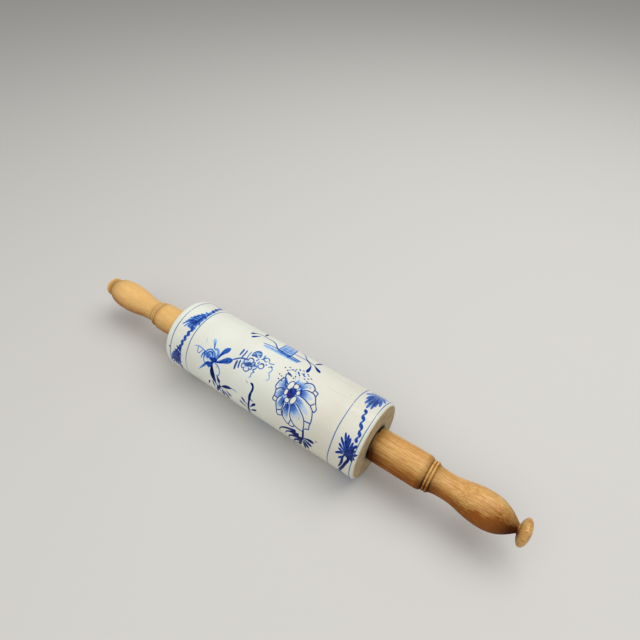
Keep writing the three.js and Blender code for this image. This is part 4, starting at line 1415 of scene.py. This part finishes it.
def wrapping_tree():
    tree = bpy.data.node_groups.new("wrap round the barrel", "GeometryNodeTree")
    socket_in(tree, "Flat skin", "NodeSocketGeometry")
    socket_in(tree, "End walls", "NodeSocketObject")
    for name in ("Radius", "Straight half", "Rim rounding", "Axis height"):
        socket_in(tree, name, "NodeSocketFloat")
    socket_in(tree, "Finish", "NodeSocketMaterial")
    socket_out(tree, "Barrel", "NodeSocketGeometry")
    given = tree.nodes.new("NodeGroupInput").outputs
    parts = split(tree, tree.nodes.new("GeometryNodeInputPosition").outputs[0])
    along, round_by = parts["X"], parts["Y"]
    far = maths(tree, "ABSOLUTE", along)
    over = maths(tree, "MAXIMUM", maths(tree, "SUBTRACT", far, given["Straight half"]), 0.0)
    bend = maths(tree, "DIVIDE", over, given["Rim rounding"])
    reach = maths(tree, "MULTIPLY", given["Rim rounding"], maths(tree, "SINE", bend))
    reach = maths(tree, "ADD", maths(tree, "MINIMUM", far, given["Straight half"]), reach)
    station = maths(tree, "MULTIPLY", reach, maths(tree, "SIGN", along))
    fall = maths(tree, "SUBTRACT", 1.0, maths(tree, "COSINE", bend))
    radius = maths(tree, "SUBTRACT", given["Radius"], maths(tree, "MULTIPLY", given["Rim rounding"], fall))
    angle = maths(tree, "DIVIDE", round_by, given["Radius"])
    forward = maths(tree, "MULTIPLY", radius, maths(tree, "SINE", angle))
    backward = maths(tree, "MULTIPLY", forward, -1.0)
    lift = maths(tree, "MULTIPLY", radius, maths(tree, "COSINE", angle))
    lift = maths(tree, "ADD", lift, given["Axis height"])
    across = maths(tree, "ADD", maths(tree, "DIVIDE", along, 2 * SKIN_EDGE * MM), 0.5)
    up = maths(tree, "ADD", maths(tree, "DIVIDE", round_by, BARREL_ROUND * MM), 0.5)
    laid = keep_map(tree, given["Flat skin"], across, maths(tree, "MULTIPLY", up, MAP_SHARE - MAP_GAP))
    outward = tree.nodes.new("GeometryNodeFlipFaces")
    feed(tree, outward.inputs[0], moved(tree, laid, joined(tree, station, backward, lift)))
    walls = tree.nodes.new("GeometryNodeObjectInfo")
    feed(tree, walls.inputs["Object"], given["End walls"])
    both = tree.nodes.new("GeometryNodeJoinGeometry")
    feed(tree, both.inputs[0], walls.outputs["Geometry"])
    feed(tree, both.inputs[0], outward.outputs[0])
    finish_tree(tree, merged(tree, both.outputs[0]))
    return tree


WRAP = wrapping_tree()
print("wrapping tree with", len(WRAP.nodes), "nodes")

# %% Close the barrel
HOLE_RADIUS, HOLE_CHAMFER, END_WALL, SIDE_WALL = 9.5, 0.8, 9.0, 7.0
AT_THE_END = 1e-4

inner, floor_station = BARREL_RADIUS - SIDE_WALL, BARREL_HALF - END_WALL
right_half = [(floor_station, inner), (floor_station, HOLE_RADIUS), (BARREL_HALF - HOLE_CHAMFER, HOLE_RADIUS),
              (BARREL_HALF, HOLE_RADIUS + HOLE_CHAMFER), (BARREL_HALF, BARREL_RADIUS - RIM_ROUNDING)]
walls = run_tree("end walls", outline_mesh(right_half[::-1] + [(-x, r) for x, r in right_half]), LATHE, **{
    "Facets": COLUMNS, "Axis height": BARREL_HEIGHT * MM, "Map start": MAP_SHARE, "Finish": PORCELAIN})
barrel = run_tree("painted_barrel", skin_mesh, WRAP, **{
    "End walls": walls, "Radius": BARREL_RADIUS * MM, "Straight half": (BARREL_HALF - RIM_ROUNDING) * MM,
    "Rim rounding": RIM_ROUNDING * MM, "Axis height": BARREL_HEIGHT * MM, "Finish": PORCELAIN})
bpy.data.objects.remove(walls)


def read_values(items, name, kind, across=1):
    """One property of all vertices, corners or faces of a mesh, as rows of an array."""
    values = np.zeros(across * len(items), kind)
    items.foreach_get(name, values)
    return values.reshape(-1, across)


def true_normals(mesh):
    """Sets each corner's normal from the barrel's own shape, so that the glaze reflects without ripples."""
    axis = (0, 0, BARREL_HEIGHT)
    corner_vertex = read_values(mesh.loops, "vertex_index", int)[:, 0]
    corner_count = read_values(mesh.polygons, "loop_total", int)[:, 0]
    at = read_values(mesh.vertices, "co", float, 3)[corner_vertex] / MM - axis
    face = np.repeat(read_values(mesh.polygons, "normal", float, 3), corner_count, axis=0)
    middle = np.repeat(read_values(mesh.polygons, "center", float, 3), corner_count, axis=0) / MM - axis
    out = at * (0, 1, 1) / np.linalg.norm(at[:, 1:], axis=1)[:, None]
    facing = np.sign((face[:, 1:] * out[:, 1:]).sum(1))
    plain = out * (facing * np.sqrt(np.clip(1 - face[:, 0] ** 2, 0, 1)))[:, None]
    plain[:, 0] = face[:, 0]
    over = np.clip(np.abs(at[:, 0]) - BARREL_HALF + RIM_ROUNDING, 0, RIM_ROUNDING) / RIM_ROUNDING
    skin = out * np.sqrt(1 - over**2)[:, None]
    skin[:, 0] = over * np.sign(at[:, 0])
    is_skin = np.linalg.norm(middle[:, 1:], axis=1) > BARREL_RADIUS - 1.2 * RIM_ROUNDING
    is_skin &= np.abs(middle[:, 0]) < BARREL_HALF - AT_THE_END
    mesh.normals_split_custom_set(np.where(is_skin[:, None], skin, plain).tolist())


true_normals(barrel.data)
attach(barrel, "barrel")
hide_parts("porcelain_barrel")
print("barrel with", len(barrel.data.polygons), "faces")
